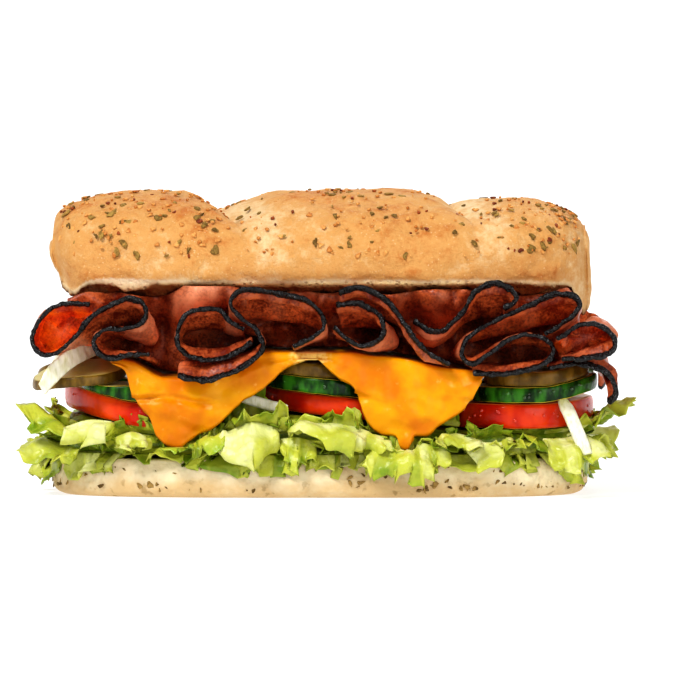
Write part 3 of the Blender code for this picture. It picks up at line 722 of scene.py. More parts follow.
@dataclass(frozen=True)
class MeatFinish(Finish):
    """Smoked meat: red-brown fibres inside a black peppered rim, with painted highlights, glints, glow and
    shade.

    Attributes:
        deep: Dark colour between the fibres, also used for the char near the rim and for painted shade on the
            inner walls.
        lean: Main colour.
        pink: Painted highlight colour on the outer, convex side of the folds.
        rim: Colour of the pepper crust.
        glint: Colour of the painted glints on the pepper crust.
        ember: Colour where light comes through.
        flame: Colour where most light comes through.
    """

    name: str = "meat_finish"
    deep: tuple[float, float, float] = srgb(104, 30, 12)
    lean: tuple[float, float, float] = srgb(232, 120, 66)
    pink: tuple[float, float, float] = srgb(238, 150, 108)
    rim: tuple[float, float, float] = srgb(7, 5, 6)
    glint: tuple[float, float, float] = srgb(84, 80, 90)
    ember: tuple[float, float, float] = srgb(196, 40, 2)
    flame: tuple[float, float, float] = srgb(250, 104, 8)

    def inputs(self, graph: Graph) -> dict[str, Value]:
        place = graph.place()
        fibres = graph.noise(4.2, 4.0, place * (1.0, 0.24, 1.0), 0.6)
        threads = graph.noise(0.7, 3.0, place * (1.0, 0.16, 1.0), 0.6)
        mottle = graph.noise(9.0, 2.0)
        streaks = fibres * 0.9 + (threads - 0.5) * 1.0 + (mottle - 0.5) * 0.8
        colour = graph.mix(streaks.between(0.2, 0.75), self.deep, self.lean)
        # Painted highlight: the outer mark lays a light rosy highlight colour on the convex side of the
        # folds.
        outer = (graph.mark("outer") * (0.5 + streaks)).clamped()
        colour = graph.mix(outer, colour, self.pink)
        # Painted glow: the ember and flame colours, also sent out as emission, stand in for light shining
        # through the thin meat.
        fire = graph.mix((mottle + (fibres - 0.5) * 0.5).between(0.42, 0.68), self.ember, self.flame)
        glow = graph.mark("glow") * (0.3 + streaks)
        colour = graph.mix(glow.clamped(), colour, fire)
        # The rim mark darkens towards the deep colour: real char near the slice edges, and painted shade on
        # the inner walls.
        burnt = graph.mark("rim")
        colour = graph.mix((burnt * 1.6 + (threads - 0.5) * burnt).clamped() * 0.75, colour, self.deep)
        pepper = graph.noise(0.7, 3.0)
        edge = (burnt + (pepper - 0.5) * 0.34).between(0.46, 0.6)
        # Painted glints: bright specks scattered over the black pepper crust.
        crust = graph.mix(graph.cells(0.6).between(0.04, 0.2), self.glint, self.rim)
        colour = graph.mix(edge, colour, crust)
        height = fibres * 0.5 * (1.0 - edge) + (pepper + graph.cells(0.7)) * 0.9 * edge + threads * 0.4
        return {"Base Color": colour, "Roughness": 0.34 - edge * 0.08, "Normal": graph.bump(height, 0.5, 0.9),
                "Emission Color": graph.mix((glow * (1.0 - edge)).clamped(), (0.0, 0.0, 0.0), fire),
                "Emission Strength": 0.3, "Specular IOR Level": 0.36}


@dataclass(frozen=True)
class CheeseFinish(Finish):
    """Melted cheese, smooth, glossy and a little see-through.

    Attributes:
        bright: Main colour.
        deep: Colour of thicker places.
        torn: Colour of torn and worn places.
    """

    name: str = "cheese_finish"
    bright: tuple[float, float, float] = srgb(230, 156, 0)
    deep: tuple[float, float, float] = srgb(206, 112, 0)
    torn: tuple[float, float, float] = srgb(244, 200, 110)

    def inputs(self, graph: Graph) -> dict[str, Value]:
        flow = graph.noise(9.0, 3.0)
        colour = graph.mix(flow.between(0.3, 0.72), self.bright, self.deep)
        worn = graph.noise(3.6, 4.0, None, 0.6).between(0.62, 0.74) * 0.35
        frayed = (graph.mark("torn") * 1.7 * graph.noise(1.4, 3.0)).between(0.35, 0.75)
        colour = graph.mix(worn + frayed * (1.0 - worn), colour, self.torn)
        oil = graph.noise(2.6, 3.0)
        height = graph.noise(4.4, 2.0) + frayed * graph.noise(0.9, 3.0) * 0.5
        return {"Base Color": colour, "Roughness": 0.26 + oil * 0.2, "Normal": graph.bump(height, 0.6, 0.7),
                "Specular IOR Level": 0.3, "Specular Tint": (1.0, 0.85, 0.5, 1.0), "Subsurface Weight": 0.06,
                "Subsurface Radius": (0.003, 0.0012, 0.0001)}


@dataclass(frozen=True)
class SliceFinish(Finish):
    """A vegetable slice: skin on the rim, flesh and seeds on the faces.

    Attributes:
        skin: Main skin colour.
        skin_shade: Second skin colour.
        flesh: Colour of the faces.
        core: Colour near the middle of the faces.
        line: Colour of the thin line between skin and face.
        streak: Size of the skin's pattern, in millimetres.
        roughness: Skin roughness.
        coat: Weight of the wet coat.
    """

    name: str = "tomato_finish"
    skin: tuple[float, float, float] = srgb(242, 76, 12)
    skin_shade: tuple[float, float, float] = srgb(196, 30, 2)
    flesh: tuple[float, float, float] = srgb(232, 96, 66)
    core: tuple[float, float, float] = srgb(244, 168, 110)
    line: tuple[float, float, float] = srgb(240, 120, 60)
    streak: float = 9.0
    roughness: float = 0.24
    coat: float = 0.1

    def inputs(self, graph: Graph) -> dict[str, Value]:
        place = graph.place()
        rim = graph.mark("skin")
        skin = graph.mix(graph.noise(self.streak, 3.0, place * (1.0, 1.0, 0.45)).between(0.35, 0.7),
                         self.skin_shade, self.skin)
        seeds = graph.cells(2.4).between(0.12, 0.3) * graph.mark("core").between(0.2, 0.5)
        face = graph.mix(graph.mark("core").between(0.15, 0.75), self.flesh, self.core)
        face = graph.mix(seeds * 0.5, face, self.flesh)
        colour = graph.mix(rim.between(0.15, 0.4), face, self.line)
        colour = graph.mix(rim.between(0.72, 0.95), colour, skin)
        height = graph.noise(self.streak * 0.3, 3.0)
        return {"Base Color": colour, "Roughness": self.roughness, "Normal": graph.bump(height, 0.3, 0.6),
                "Coat Weight": self.coat, "Coat Roughness": 0.08, "Specular IOR Level": 0.2,
                "Subsurface Weight": 0.08, "Subsurface Radius": (0.003, 0.0008, 0.0004)}


@dataclass(frozen=True)
class OnionFinish(Finish):
    """Moist onion flesh with fine lines along the strip.

    Attributes:
        flesh: Main colour.
        vein: Colour of the lines.
    """

    name: str = "onion_finish"
    flesh: tuple[float, float, float] = srgb(242, 240, 218)
    vein: tuple[float, float, float] = srgb(216, 214, 172)

    def inputs(self, graph: Graph) -> dict[str, Value]:
        lines = graph.noise(1.6, 3.0, graph.place() * (1.6, 1.0, 0.5))
        return {"Base Color": graph.mix(lines.between(0.4, 0.75), self.flesh, self.vein), "Roughness": 0.28,
                "Normal": graph.bump(lines, 0.15, 0.5), "Subsurface Weight": 0.3,
                "Subsurface Radius": (0.003, 0.003, 0.002), "Specular IOR Level": 0.35}


@dataclass(frozen=True)
class LeafFinish(Finish):
    """Lettuce: pale at the rib, bright green at the frilled edge, with veins and painted shade on one side of
    each ruffle.

    Attributes:
        rib: Colour of the pale inner leaf.
        leaf: Main colour.
        frill: Colour of the edge.
        shade: Painted shade colour on one side of each ruffle and on the pressed bed.
    """

    name: str = "lettuce_finish"
    rib: tuple[float, float, float] = srgb(216, 218, 150)
    leaf: tuple[float, float, float] = srgb(188, 192, 66)
    frill: tuple[float, float, float] = srgb(132, 164, 26)
    shade: tuple[float, float, float] = srgb(82, 104, 6)

    def inputs(self, graph: Graph) -> dict[str, Value]:
        edge = graph.mark("edge")
        tone = graph.mark("tone")
        fold = graph.mark("fold")
        clouds = graph.noise(6.0, 3.0)
        # Painted shade: the fold mark tips one side of each wave towards the greener tones here and towards
        # the shade colour below.
        green = edge * 0.45 + (clouds - 0.5) * 0.9 + (tone - 0.25) * 0.8 + (fold - 0.5) * 0.35
        colour = graph.mix(green.between(-0.05, 0.45), self.rib, self.leaf)
        colour = graph.mix(green.between(0.45, 0.95), colour, self.frill)
        colour = graph.mix((fold.between(0.5, 1.0) * tone * 0.75).clamped(), colour, self.shade)
        veins = 1.0 - graph.mark("vein").between(0.01, 0.09)
        net = 1.0 - graph.cells(2.6).between(0.3, 0.62)
        colour = graph.mix((1.0 - net) * 0.3, colour, self.leaf)
        colour = graph.mix(veins * 0.45, colour, self.rib)
        height = graph.noise(1.5, 4.0) * 0.7 + veins * 0.5 + net * 0.5
        return {"Base Color": colour, "Roughness": 0.34, "Normal": graph.bump(height, 0.35, 0.8),
                "Specular IOR Level": 0.35, "Subsurface Weight": 0.12,
                "Subsurface Radius": (0.001, 0.0014, 0.0002)}


@dataclass(frozen=True)
class FloorFinish(Finish):
    """Plain matt white floor."""

    name: str = "floor_finish"

    def inputs(self, graph: Graph) -> dict[str, Value]:
        tone = graph.noise(400.0, 1.0)
        return {"Base Color": graph.mix(tone, (0.4, 0.4, 0.4), (0.42, 0.42, 0.42)), "Roughness": 0.9,
                "Specular IOR Level": 0.0, "Emission Color": (1.0, 1.0, 1.0), "Emission Strength": 0.62}


# Pieces
@dataclass(frozen=True)
class Piece(ABC):
    """One part of the sandwich that the camera sees.

    Attributes:
        name: The object's name.
        nodes: CAD nodes that it stands for.
        slot: Name of its material slot; not used.
        finish: Its surface finish.
    """

    name: str
    nodes: tuple[str, ...]
    slot: str
    finish: Finish

    @abstractmethod
    def shape(self) -> Shape:
        """The mesh in the CAD layout."""

    def build(self) -> bpy.types.Object:
        """Makes the object, dresses it and sets it to ride on the body.

        Returns:
            The finished object.
        """
        shape = self.shape()
        mesh = bpy.data.meshes.new(self.name)
        mesh.from_pydata(((shape.points + frame_shift()) * MM).tolist(), [], shape.faces)
        body = bmesh.new()
        body.from_mesh(mesh)
        bmesh.ops.recalc_face_normals(body, faces=body.faces)
        body.to_mesh(mesh)
        body.free()
        for name, value in shape.marks.items():
            mesh.attributes.new(name, "FLOAT", "POINT").data.foreach_set("value", value.astype(np.float32))
        mesh.shade_smooth()
        mesh.materials.append(self.finish.material())
        item = bpy.data.objects.new(self.name, mesh)
        bpy.context.scene.collection.objects.link(item)
        if self.nodes:
            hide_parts(*self.nodes)
        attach(item, "root")
        log.info("%s: %d points, %d faces", self.name, len(shape.points), len(shape.faces))
        return item


@dataclass(frozen=True)
class Crown(Piece):
    """Upper bread half: three lobes with slanting creases and a crumb face.

    Attributes:
        groove_x: Where the creases cross the middle line.
        groove_depth: Their depths.
        groove_width: Their widths on the steep side.
        slant: How far they slant across the loaf.
        stations: Rings along the loaf.
        arc: Points over the top of each ring.
        face: Points over the crumb face of each ring.
        dome: How far the closed ends bulge.
    """

    name: str = "top_bread"
    nodes: tuple[str, ...] = ("top_bun",)
    slot: str = "crust"
    finish: Finish = CrustFinish()
    groove_x: tuple[float, float] = (-34.3, 32.7)
    groove_depth: tuple[float, float] = (6.4, 4.4)
    groove_width: tuple[float, float] = (5.0, 4.6)
    slant: float = 0.31
    stations: int = 250
    arc: int = 100
    face: int = 50
    dome: float = 1.2

    def groove(self, x: Array, y: Array) -> tuple[Array, Array]:
        """Depth of the creases, and how stretched the crust beside them is."""
        depth, stretch = np.zeros(np.broadcast(x, y).shape), np.zeros(np.broadcast(x, y).shape)
        for centre, deepest, width in zip(self.groove_x, self.groove_depth, self.groove_width):
            offset = x - (centre + 1.6 - self.slant * np.sign(y) * ramp(np.abs(y) - 7.0, 2.0))
            side = np.where(offset < 0.0, width, width * 2.2)
            fade = 1.0 - 0.5 * smooth(np.abs(y), 12.0, 36.0)
            depth += deepest * np.exp(-np.abs(offset / side) ** 1.4) * fade
            depth += 0.7 * bell(offset, 0.4, 0.9) * fade
            stretch += bell(offset, 5.0, 6.5) * (1.0 - 0.3 * smooth(np.abs(y), 12.0, 36.0))
        return depth, stretch

    def rings(self) -> tuple[Array, dict[str, Array]]:
        """The rings of the loaf and their marks."""
        turn = np.linspace(-math.pi / 2.0, math.pi / 2.0, self.stations)
        x = LAYOUT.middle + LAYOUT.half_length * np.sin(turn)
        x = x * 0.55 + np.linspace(LAYOUT.x0, LAYOUT.x1, self.stations) * 0.45
        reach = LAYOUT.reach(x, 5.0, 3.4)
        half = LAYOUT.half_depth * np.maximum(LAYOUT.reach(x, LAYOUT.exponent, LAYOUT.exponent), 0.34)
        edge = LAYOUT.cut_edge(x)
        shoulder = 66.0 + 4.0 * (1.0 - np.maximum(reach, 0.4))
        rise = (LAYOUT.crown_height - shoulder) * reach ** 0.82
        rise = np.maximum(rise, 9.0 * (0.6 + 0.4 * smooth(x, LAYOUT.x0 - 0.5, LAYOUT.x0 + 6.0)))
        edge[0] = max(edge[0], 58.0) + 4.5
        rise[[0, -1]] *= 0.8
        angle = np.linspace(0.0, math.pi, self.arc)
        top_y = half[:, None] * spow(np.cos(angle), 0.86)[None]
        top_z = shoulder[:, None] + rise[:, None] * np.sin(angle)[None] ** 0.78
        depth, stretch = self.groove(x[:, None], top_y)
        low = shoulder[:, None] + 1.0
        share = np.clip((top_z - low) / (rise[:, None] * 0.6 + 0.5), 0.0, 1.0)
        top_z = top_z - depth * share * share * (3.0 - 2.0 * share) * np.minimum(1.0, rise[:, None] / 12.0)
        inner = half - 1.7
        flank = np.linspace(0.0, 1.0, 12)[1:-1]
        bow = 1.4 * np.sin(math.pi * flank)
        front_y = -half[:, None] + 1.7 * flank[None] ** 2.0 - 0.12 * bow[None]
        front_z = shoulder[:, None] + (edge - shoulder)[:, None] * flank[None]
        across = np.linspace(-1.0, 1.0, self.face)
        face_y = inner[:, None] * across[None]
        face_z = edge[:, None] - LAYOUT.cut_drop(x[:, None], 36.0 * across[None])
        y = np.hstack([top_y, front_y, face_y, -front_y[:, ::-1]])
        z = np.hstack([top_z, front_z, face_z, front_z[:, ::-1]])
        grid = np.stack([np.repeat(x[:, None], y.shape[1], axis=1), y, z], axis=-1)
        # Painted shade: the bell at 64.5 mm darkens the lower flank, where it curves in under the lobes,
        # inside the browning mark.
        bake = 0.05 + 0.42 * smooth(z - edge[:, None], 0.4, 2.6) + 0.1 * bell(z, 64.5, 3.0)
        bake = bake + 0.12 * smooth(z, 66.0, 78.0) + 0.12 * smooth(z, 79.0, 86.0)
        bake[:, :self.arc] -= 0.42 * np.clip(stretch, 0.0, 1.0) * smooth(z[:, :self.arc], 66.0, 73.0)
        low = (1.0 - smooth(z - edge[:, None], 0.6, 3.0)) * (0.6 + 0.4 * bell(grid[..., 0], -62.0, 22.0))
        bake = bake - 0.04 * bell(grid[..., 0], 4.0, 24.0) + 0.1 * bell(grid[..., 0], -60.0, 18.0)
        cut = np.zeros_like(z)
        columns = slice(self.arc + 10, self.arc + 10 + self.face)
        cut[:, columns] = 1.0
        cut[:, self.arc + 8:self.arc + 10] = (0.25, 0.7)
        cut[:, self.arc + 10 + self.face:self.arc + 12 + self.face] = (0.7, 0.25)
        inner = cut * smooth(LAYOUT.half_depth - np.abs(y), 1.8, 5.0)
        return grid, {"bake": bake, "cut": cut, "inner": inner, "low": low}

    def shape(self) -> Shape:
        grid, marks = self.rings()
        normal = -grid_normals(grid)
        normal[0] = (-1.0, 0.0, 0.0)
        normal[-1] = (1.0, 0.0, 0.0)
        cut = marks["cut"]
        relief = 0.3 * Ripple(17.0, 1)(grid) + 0.1 * Ripple(5.5, 2)(grid)
        relief += 0.06 * np.maximum(Ripple(2.0, 3)(grid), -0.5)
        torn = 0.22 * Ripple(3.4, 4)(grid) + 0.14 * Ripple(1.4, 5)(grid)
        relief = relief * (1.0 - cut) + torn * marks["inner"]
        lip = smooth(grid[..., 0], -77.0, -72.0) * (1.0 - smooth(grid[..., 0], -64.0, -47.0))
        lip = lip * bell(np.abs(grid[..., 1]), 32.5, 2.2) * cut
        grid[..., 2] -= lip * (3.6 + 0.5 * Ripple(4.0, 6)(grid))
        ends = smooth(grid[..., 0], LAYOUT.x0,
                      LAYOUT.x0 + 3.0) * (1.0 - smooth(grid[..., 0], LAYOUT.x1 - 3.0, LAYOUT.x1))
        grid = grid + normal * (relief * (0.35 + 0.65 * ends) - 0.25)[..., None]
        corner = smooth(70.0 - grid[..., 2], 0.0,
                        10.0) * (1.0 - smooth(grid[..., 0], LAYOUT.x0, LAYOUT.x0 + 12.0))
        grid[..., 0] += 2.6 * corner
        marks["bake"] = marks["bake"] + 0.06 * Ripple(5.5, 2)(grid) + 0.08 * Ripple(30.0, 8)(grid)
        marks["inner"] = marks["inner"] * (1.0 - np.clip(lip, 0.0, 1.0))
        return Shape.tube(*self.domed(grid, marks))

    def domed(self, grid: Array, marks: dict[str, Array]) -> tuple[Array, dict[str, Array]]:
        """Adds rings that close both ends of the loaf with low domes of crust."""
        turn = np.linspace(0.0, math.pi / 2.0, 11)[1:-1]
        caps, values = [], []
        for end, way in ((0, -1.0), (-1, 1.0)):
            ring = grid[end]
            centre = (ring.min(axis=0) + ring.max(axis=0)) / 2.0
            cap = centre + (ring - centre) * np.sqrt(np.cos(turn))[:, None, None]
            cap[..., 0] += way * (self.dome + 0.2 * Ripple(9.0, 9)(cap)) * np.sin(turn)[:, None]
            fade = (1.0 - smooth(turn, 0.0, 0.5))[:, None]
            level = {"bake": 0.45, "cut": 0.0, "inner": 0.0, "low": 0.2}
            values.append({name: level[name] + (value[end] - level[name]) * fade for name,
                           value in marks.items()})
            caps.append(cap)
        rings = np.concatenate([caps[0][::-1], grid, caps[1]])
        return rings, {name: np.concatenate([values[0][name][::-1], value, values[1][name]])
                       for name, value in marks.items()}

    def sites(self, count: int, seed: int, ridge: float) -> tuple[Array, Array]:
        """Random places on the crust with their outward directions.

        Args:
            count: How many places.
            seed: Picks one set.
            ridge: How strongly the places gather near the top, 0 for evenly.

        Returns:
            Points and unit normals.
        """
        grid, _ = self.rings()
        normal = -grid_normals(grid)
        draw = np.random.default_rng(seed)
        rows = draw.integers(9, self.stations - 9, count * 9)
        angle = draw.uniform(-1.0, 1.0, count * 9)
        angle = 0.5 + 0.48 * np.sign(angle) * np.abs(angle) ** 0.7
        columns = (angle * (self.arc - 1)).astype(int)
        x = grid[rows, columns, 0]
        crowd = (0.24 + bell(x, -39.0, 7.0) + bell(x, 62.0, 9.0) + 0.6 * bell(x, -62.0, 8.0)
                 + 0.45 * bell(x, 10.0, 16.0))
        chance = ((1.0 - ridge) + ridge * np.sin(math.pi * angle) ** 2.0) * np.clip(crowd, 0.0, 1.0)
        keep = draw.uniform(0.0, 1.0, count * 9) < chance
        rows, columns = rows[keep][:count], columns[keep][:count]
        return grid[rows, columns], normal[rows, columns]


@dataclass(frozen=True)
class Heel(Piece):
    """Lower bread half with a flat base.

    Attributes:
        profile: Inset and height of its side, from the base up.
        sides: Points round the outline.
    """

    name: str = "bottom_bread"
    nodes: tuple[str, ...] = ("bottom_bun",)
    slot: str = "crumb"
    finish: Finish = HeelFinish()
    profile: tuple[tuple[float, float], ...] = ((3.0, 0.0), (1.1, 1.0), (0.1, 3.4), (0.0, 7.0), (0.5, 10.2),
                                                (1.2, 11.0))
    sides: int = 480

    def rings(self) -> Array:
        """The rings of the side, then of the cut face."""
        curve = spline(self.profile, 0.35)
        share = np.arange(self.sides) / self.sides
        rings = []
        for inset, z in curve:
            point, _ = LAYOUT.outline(share, inset)
            rings.append(np.column_stack([point, np.full(self.sides, z)]))
        for inset in (3.0, 6.0, 12.0, 22.0):
            point, _ = LAYOUT.outline(share, inset)
            rings.append(np.column_stack([point, np.full(self.sides, LAYOUT.heel_height)]))
        return np.array(rings)

    def shape(self) -> Shape:
        rings = self.rings()
        centre = np.array([LAYOUT.middle, 0.0, 5.0])
        away = rings - centre
        away[..., 2] = 0.0
        away /= np.linalg.norm(away, axis=-1, keepdims=True)
        side = smooth(rings[..., 2], 0.2, 2.0) * (1.0 - smooth(rings[..., 2], 9.8, 10.9))
        relief = 0.3 * Ripple(16.0, 11)(rings) + 0.12 * Ripple(4.0, 12)(rings) + 0.06 * Ripple(1.8, 13)(rings)
        rings = rings + away * (relief * side - 0.1)[..., None]
        low = 1.0 - smooth(rings[..., 2], 1.5, 7.0)
        cut = smooth(rings[..., 2], 10.6, 10.95)
        return Shape.tube(rings, {"low": low, "cut": cut})

    def sites(self, count: int, seed: int) -> tuple[Array, Array]:
        """Random places on the side, more of them near the base."""
        draw = np.random.default_rng(seed)
        share = draw.uniform(0.0, 1.0, count)
        point, way = LAYOUT.outline(share, 0.05)
        height = 2.2 + 7.6 * draw.uniform(0.0, 1.0, count) ** 1.7
        return np.column_stack([point, height]), np.column_stack([way, np.zeros(count)])


@dataclass(frozen=True)
class Scatter(Piece):
    """Many small flakes or crumbs that lie on a bread half.

    Attributes:
        sites: Gives the places and directions.
        length: Shortest and longest length, in millimetres.
        slimness: Smallest and largest width as a share of the length.
        height: How far a flake stands out.
        seed: Picks the shapes.
        sides: Points round one flake.
    """

    sites: Callable[[], tuple[Array, Array]] = field(default=lambda: (np.zeros((0, 3)), np.zeros((0, 3))))
    length: tuple[float, float] = (1.2, 3.0)
    slimness: tuple[float, float] = (0.35, 0.7)
    height: float = 0.35
    seed: int = 1
    sides: int = 11

    def shape(self) -> Shape:
        draw = np.random.default_rng(self.seed)
        places, ways = self.sites()
        angle = np.arange(self.sides) * 2.0 * math.pi / self.sides
        flakes = []
        for place, up in zip(places, ways):
            side = np.cross(up, (0.31, 0.22, 0.92))
            side /= np.linalg.norm(side)
            other = np.cross(up, side)
            turn = draw.uniform(0.0, math.pi)
            along = side * math.cos(turn) + other * math.sin(turn)
            across = np.cross(up, along)
            length = draw.uniform(*self.length) * draw.uniform(0.6, 1.0)
            width = length * draw.uniform(*self.slimness)
            jag = 1.0 + 0.24 * np.cos(3.0 * angle + draw.uniform(0.0, 6.0)) * draw.uniform(0.3, 1.0)
            jag = jag + draw.uniform(-0.2, 0.2, self.sides)
            bend = draw.uniform(-0.15, 0.5)
            rings = []
            for reach, lift in ((0.7, -0.9), (1.0, 0.1), (0.8, 0.75), (0.3, 1.0)):
                flat = (along[None] * (np.cos(angle) * length / 2.0 * jag * reach)[:, None]
                        + across[None] * (np.sin(angle) * width / 2.0 * jag * reach)[:, None])
                rise = self.height * lift + bend * 0.4 * (np.cos(angle) * reach) ** 2
                rings.append(place + flat + up[None] * rise[:, None])
            tone = np.full((4, self.sides), draw.uniform(0.0, 1.0))
            flakes.append(Shape.tube(np.array(rings), {"tone": tone}))
        return Shape.joined(flakes)


@dataclass(frozen=True)
class Disc(Piece):
    """A round vegetable slice that follows the layer under it.

    Attributes:
        centre: Middle, x and y.
        radii: Radii along x and y.
        low: Height of its lower side at x, y.
        thickness: Thickness at x.
        wobble: How uneven its outline is.
        seed: Picks the unevenness.
        sides: Points round the slice.
    """

    centre: tuple[float, float] = (0.0, 0.0)
    radii: tuple[float, float] = (20.0, 20.0)
    low: Callable[[Array, Array], Array] = field(default=lambda x, y: x * 0.0)
    thickness: Callable[[Array], Array] = field(default=lambda x: x * 0.0 + 4.0)
    wobble: float = 0.012
    seed: int = 3
    sides: int = 104

    def profile(self) -> Array:
        """Reach, height share and skin share from the lower to the upper middle."""
        inner = np.linspace(0.12, 0.9, 9)
        lower = np.column_stack([inner, np.zeros(9), np.zeros(9)])
        turn = np.linspace(-math.pi / 2.0, math.pi / 2.0, 15)
        rim = np.column_stack([0.945 + 0.055 * np.cos(turn) ** 0.6, 0.5 + 0.5 * spow(np.sin(turn), 0.8),
                               smooth(np.cos(turn), 0.0, 0.45)])
        upper = np.column_stack([inner[::-1], np.ones(9), np.zeros(9)])
        return np.vstack([lower, rim, upper])

    def shape(self) -> Shape:
        angle = np.arange(self.sides) * 2.0 * math.pi / self.sides
        uneven = 1.0 + self.wobble * np.sin(3.0 * angle + self.centre[0])
        uneven = uneven + 0.4 * self.wobble * np.sin(7.0 * angle + self.seed)
        rings, skin, core = [], [], []
        for reach, share, rim in self.profile():
            x = self.centre[0] + self.radii[0] * reach * uneven * np.cos(angle)
            y = self.centre[1] + self.radii[1] * reach * uneven * np.sin(angle)
            z = self.low(x, y) + self.thickness(x) * share
            rings.append(np.column_stack([x, y, z]))
            skin.append(np.full(self.sides, rim))
            core.append(np.full(self.sides, 1.0 - reach))
        grid = np.array(rings)
        grid[..., 2] += 0.06 * Ripple(5.0, self.seed)(grid)
        return Shape.tube(grid, {"skin": np.array(skin), "core": np.array(core)})


@dataclass(frozen=True)
class MeltedSlice(Piece):
    """A melted cheese slice, flat inside and hanging at the front and back.

    Attributes:
        hem: Its lower edge seen from the front, as x and z.
        reach: How far it lies flat from the middle.
        thickness: Its thickness.
        seed: Picks its wrinkles.
    """

    hem: tuple[tuple[float, float], ...] = ((0.0, 0.0), (1.0, 0.0))
    reach: float = 38.0
    thickness: float = 1.6
    seed: int = 5

    def shape(self) -> Shape:
        hem = spline(self.hem, 0.45)
        x = np.linspace(hem[0, 0], hem[-1, 0], 136)
        order = np.argsort(hem[:, 0])
        low = np.interp(x, hem[order, 0], hem[order, 1])
        top = LAYOUT.cheese_top(x)
        low = np.minimum(low, top - 2.0)
        fall = np.linspace(0.0, 1.0, 34)
        bend = np.linspace(0.0, math.pi / 2.0, 9)[1:-1]
        outer = self.reach + self.thickness
        halves = []
        for side in (1.0, -1.0):
            down_z = low[:, None] + (top - 1.6 - low)[:, None] * fall[None]
            swell = 0.35 * np.sin(math.pi * fall)[None] + 0.3 * bell(down_z, 28.5, 3.0)
            place = np.stack([np.repeat(x[:, None], 34, 1), np.full_like(down_z, side * outer), down_z], -1)
            wrinkle = (0.42 * Ripple(10.0, self.seed)(place * (1.0, 1.0, 0.6))
                       + 0.16 * Ripple(4.6, self.seed + 1)(place))
            column = 0 if self.hem[0][0] < -20.0 else 1
            rim = LAYOUT.tomato_low(column, place[..., 0]) + 1.1 * Ripple(24.0, self.seed + 2)(place)
            deepening = 0.55 + 0.45 * Ripple(18.0, self.seed + 3)(place)
            wrinkle += 0.5 * bell(place[..., 2], rim + 3.4, 2.6) - 0.9 * deepening * bell(place[..., 2],
                                                                                          rim + 7.3, 1.1)
            wrinkle += 0.8 * smooth(place[..., 2], rim + 7.2, rim + 9.0) * deepening
            wrinkle += 0.7 * bell(place[..., 2], 16.4, 1.7) * bell(place[..., 0], 21.4, 2.6)
            wrinkle -= 0.5 * bell(place[..., 2], rim - 0.8, 1.6)
            down_y = side * (outer + swell + wrinkle * np.minimum(1.0, 3.0 * (1.0 - fall))[None])
            turn_y = side * (outer - 1.5 + 1.5 * np.cos(bend))[None] + np.zeros_like(x)[:, None]
            turn_z = (top - 1.6)[:, None] + 1.6 * np.sin(bend)[None]
            flat_y = (side * np.linspace(self.reach - 1.0, 0.0 if side > 0 else 2.0, 14)[None]
                      + np.zeros_like(x)[:, None])
            flat_z = top[:, None] + np.zeros((1, 14))
            y, z = np.hstack([down_y, turn_y, flat_y]), np.hstack([down_z, turn_z, flat_z])
            halves.append((y, z) if side > 0 else (y[:, ::-1], z[:, ::-1]))
        y, z = np.hstack([halves[0][0], halves[1][0]]), np.hstack([halves[0][1], halves[1][1]])
        outside = np.stack([np.repeat(x[:, None], y.shape[1], 1), y, z], axis=-1)
        normal = grid_normals(outside)
        if normal[len(x) // 2, y.shape[1] // 2, 2] < 0.0:
            normal = -normal
        inside = outside - normal * self.thickness
        inside[..., 1] = np.where(np.abs(y) > self.reach - 0.5, np.sign(y) * (np.abs(y) - self.thickness),
                                  inside[..., 1])
        inside[..., 2] = np.where(np.abs(y) > self.reach - 0.5,
                                  np.minimum(z, top[:, None] - self.thickness - 0.2),
                                  inside[..., 2])
        torn = bell(outside[..., 0], -5.5, 7.0) * smooth(outside[..., 2], 36.5, 40.0)
        return Shape.sheet(outside, inside, {"torn": torn}, 0.7)


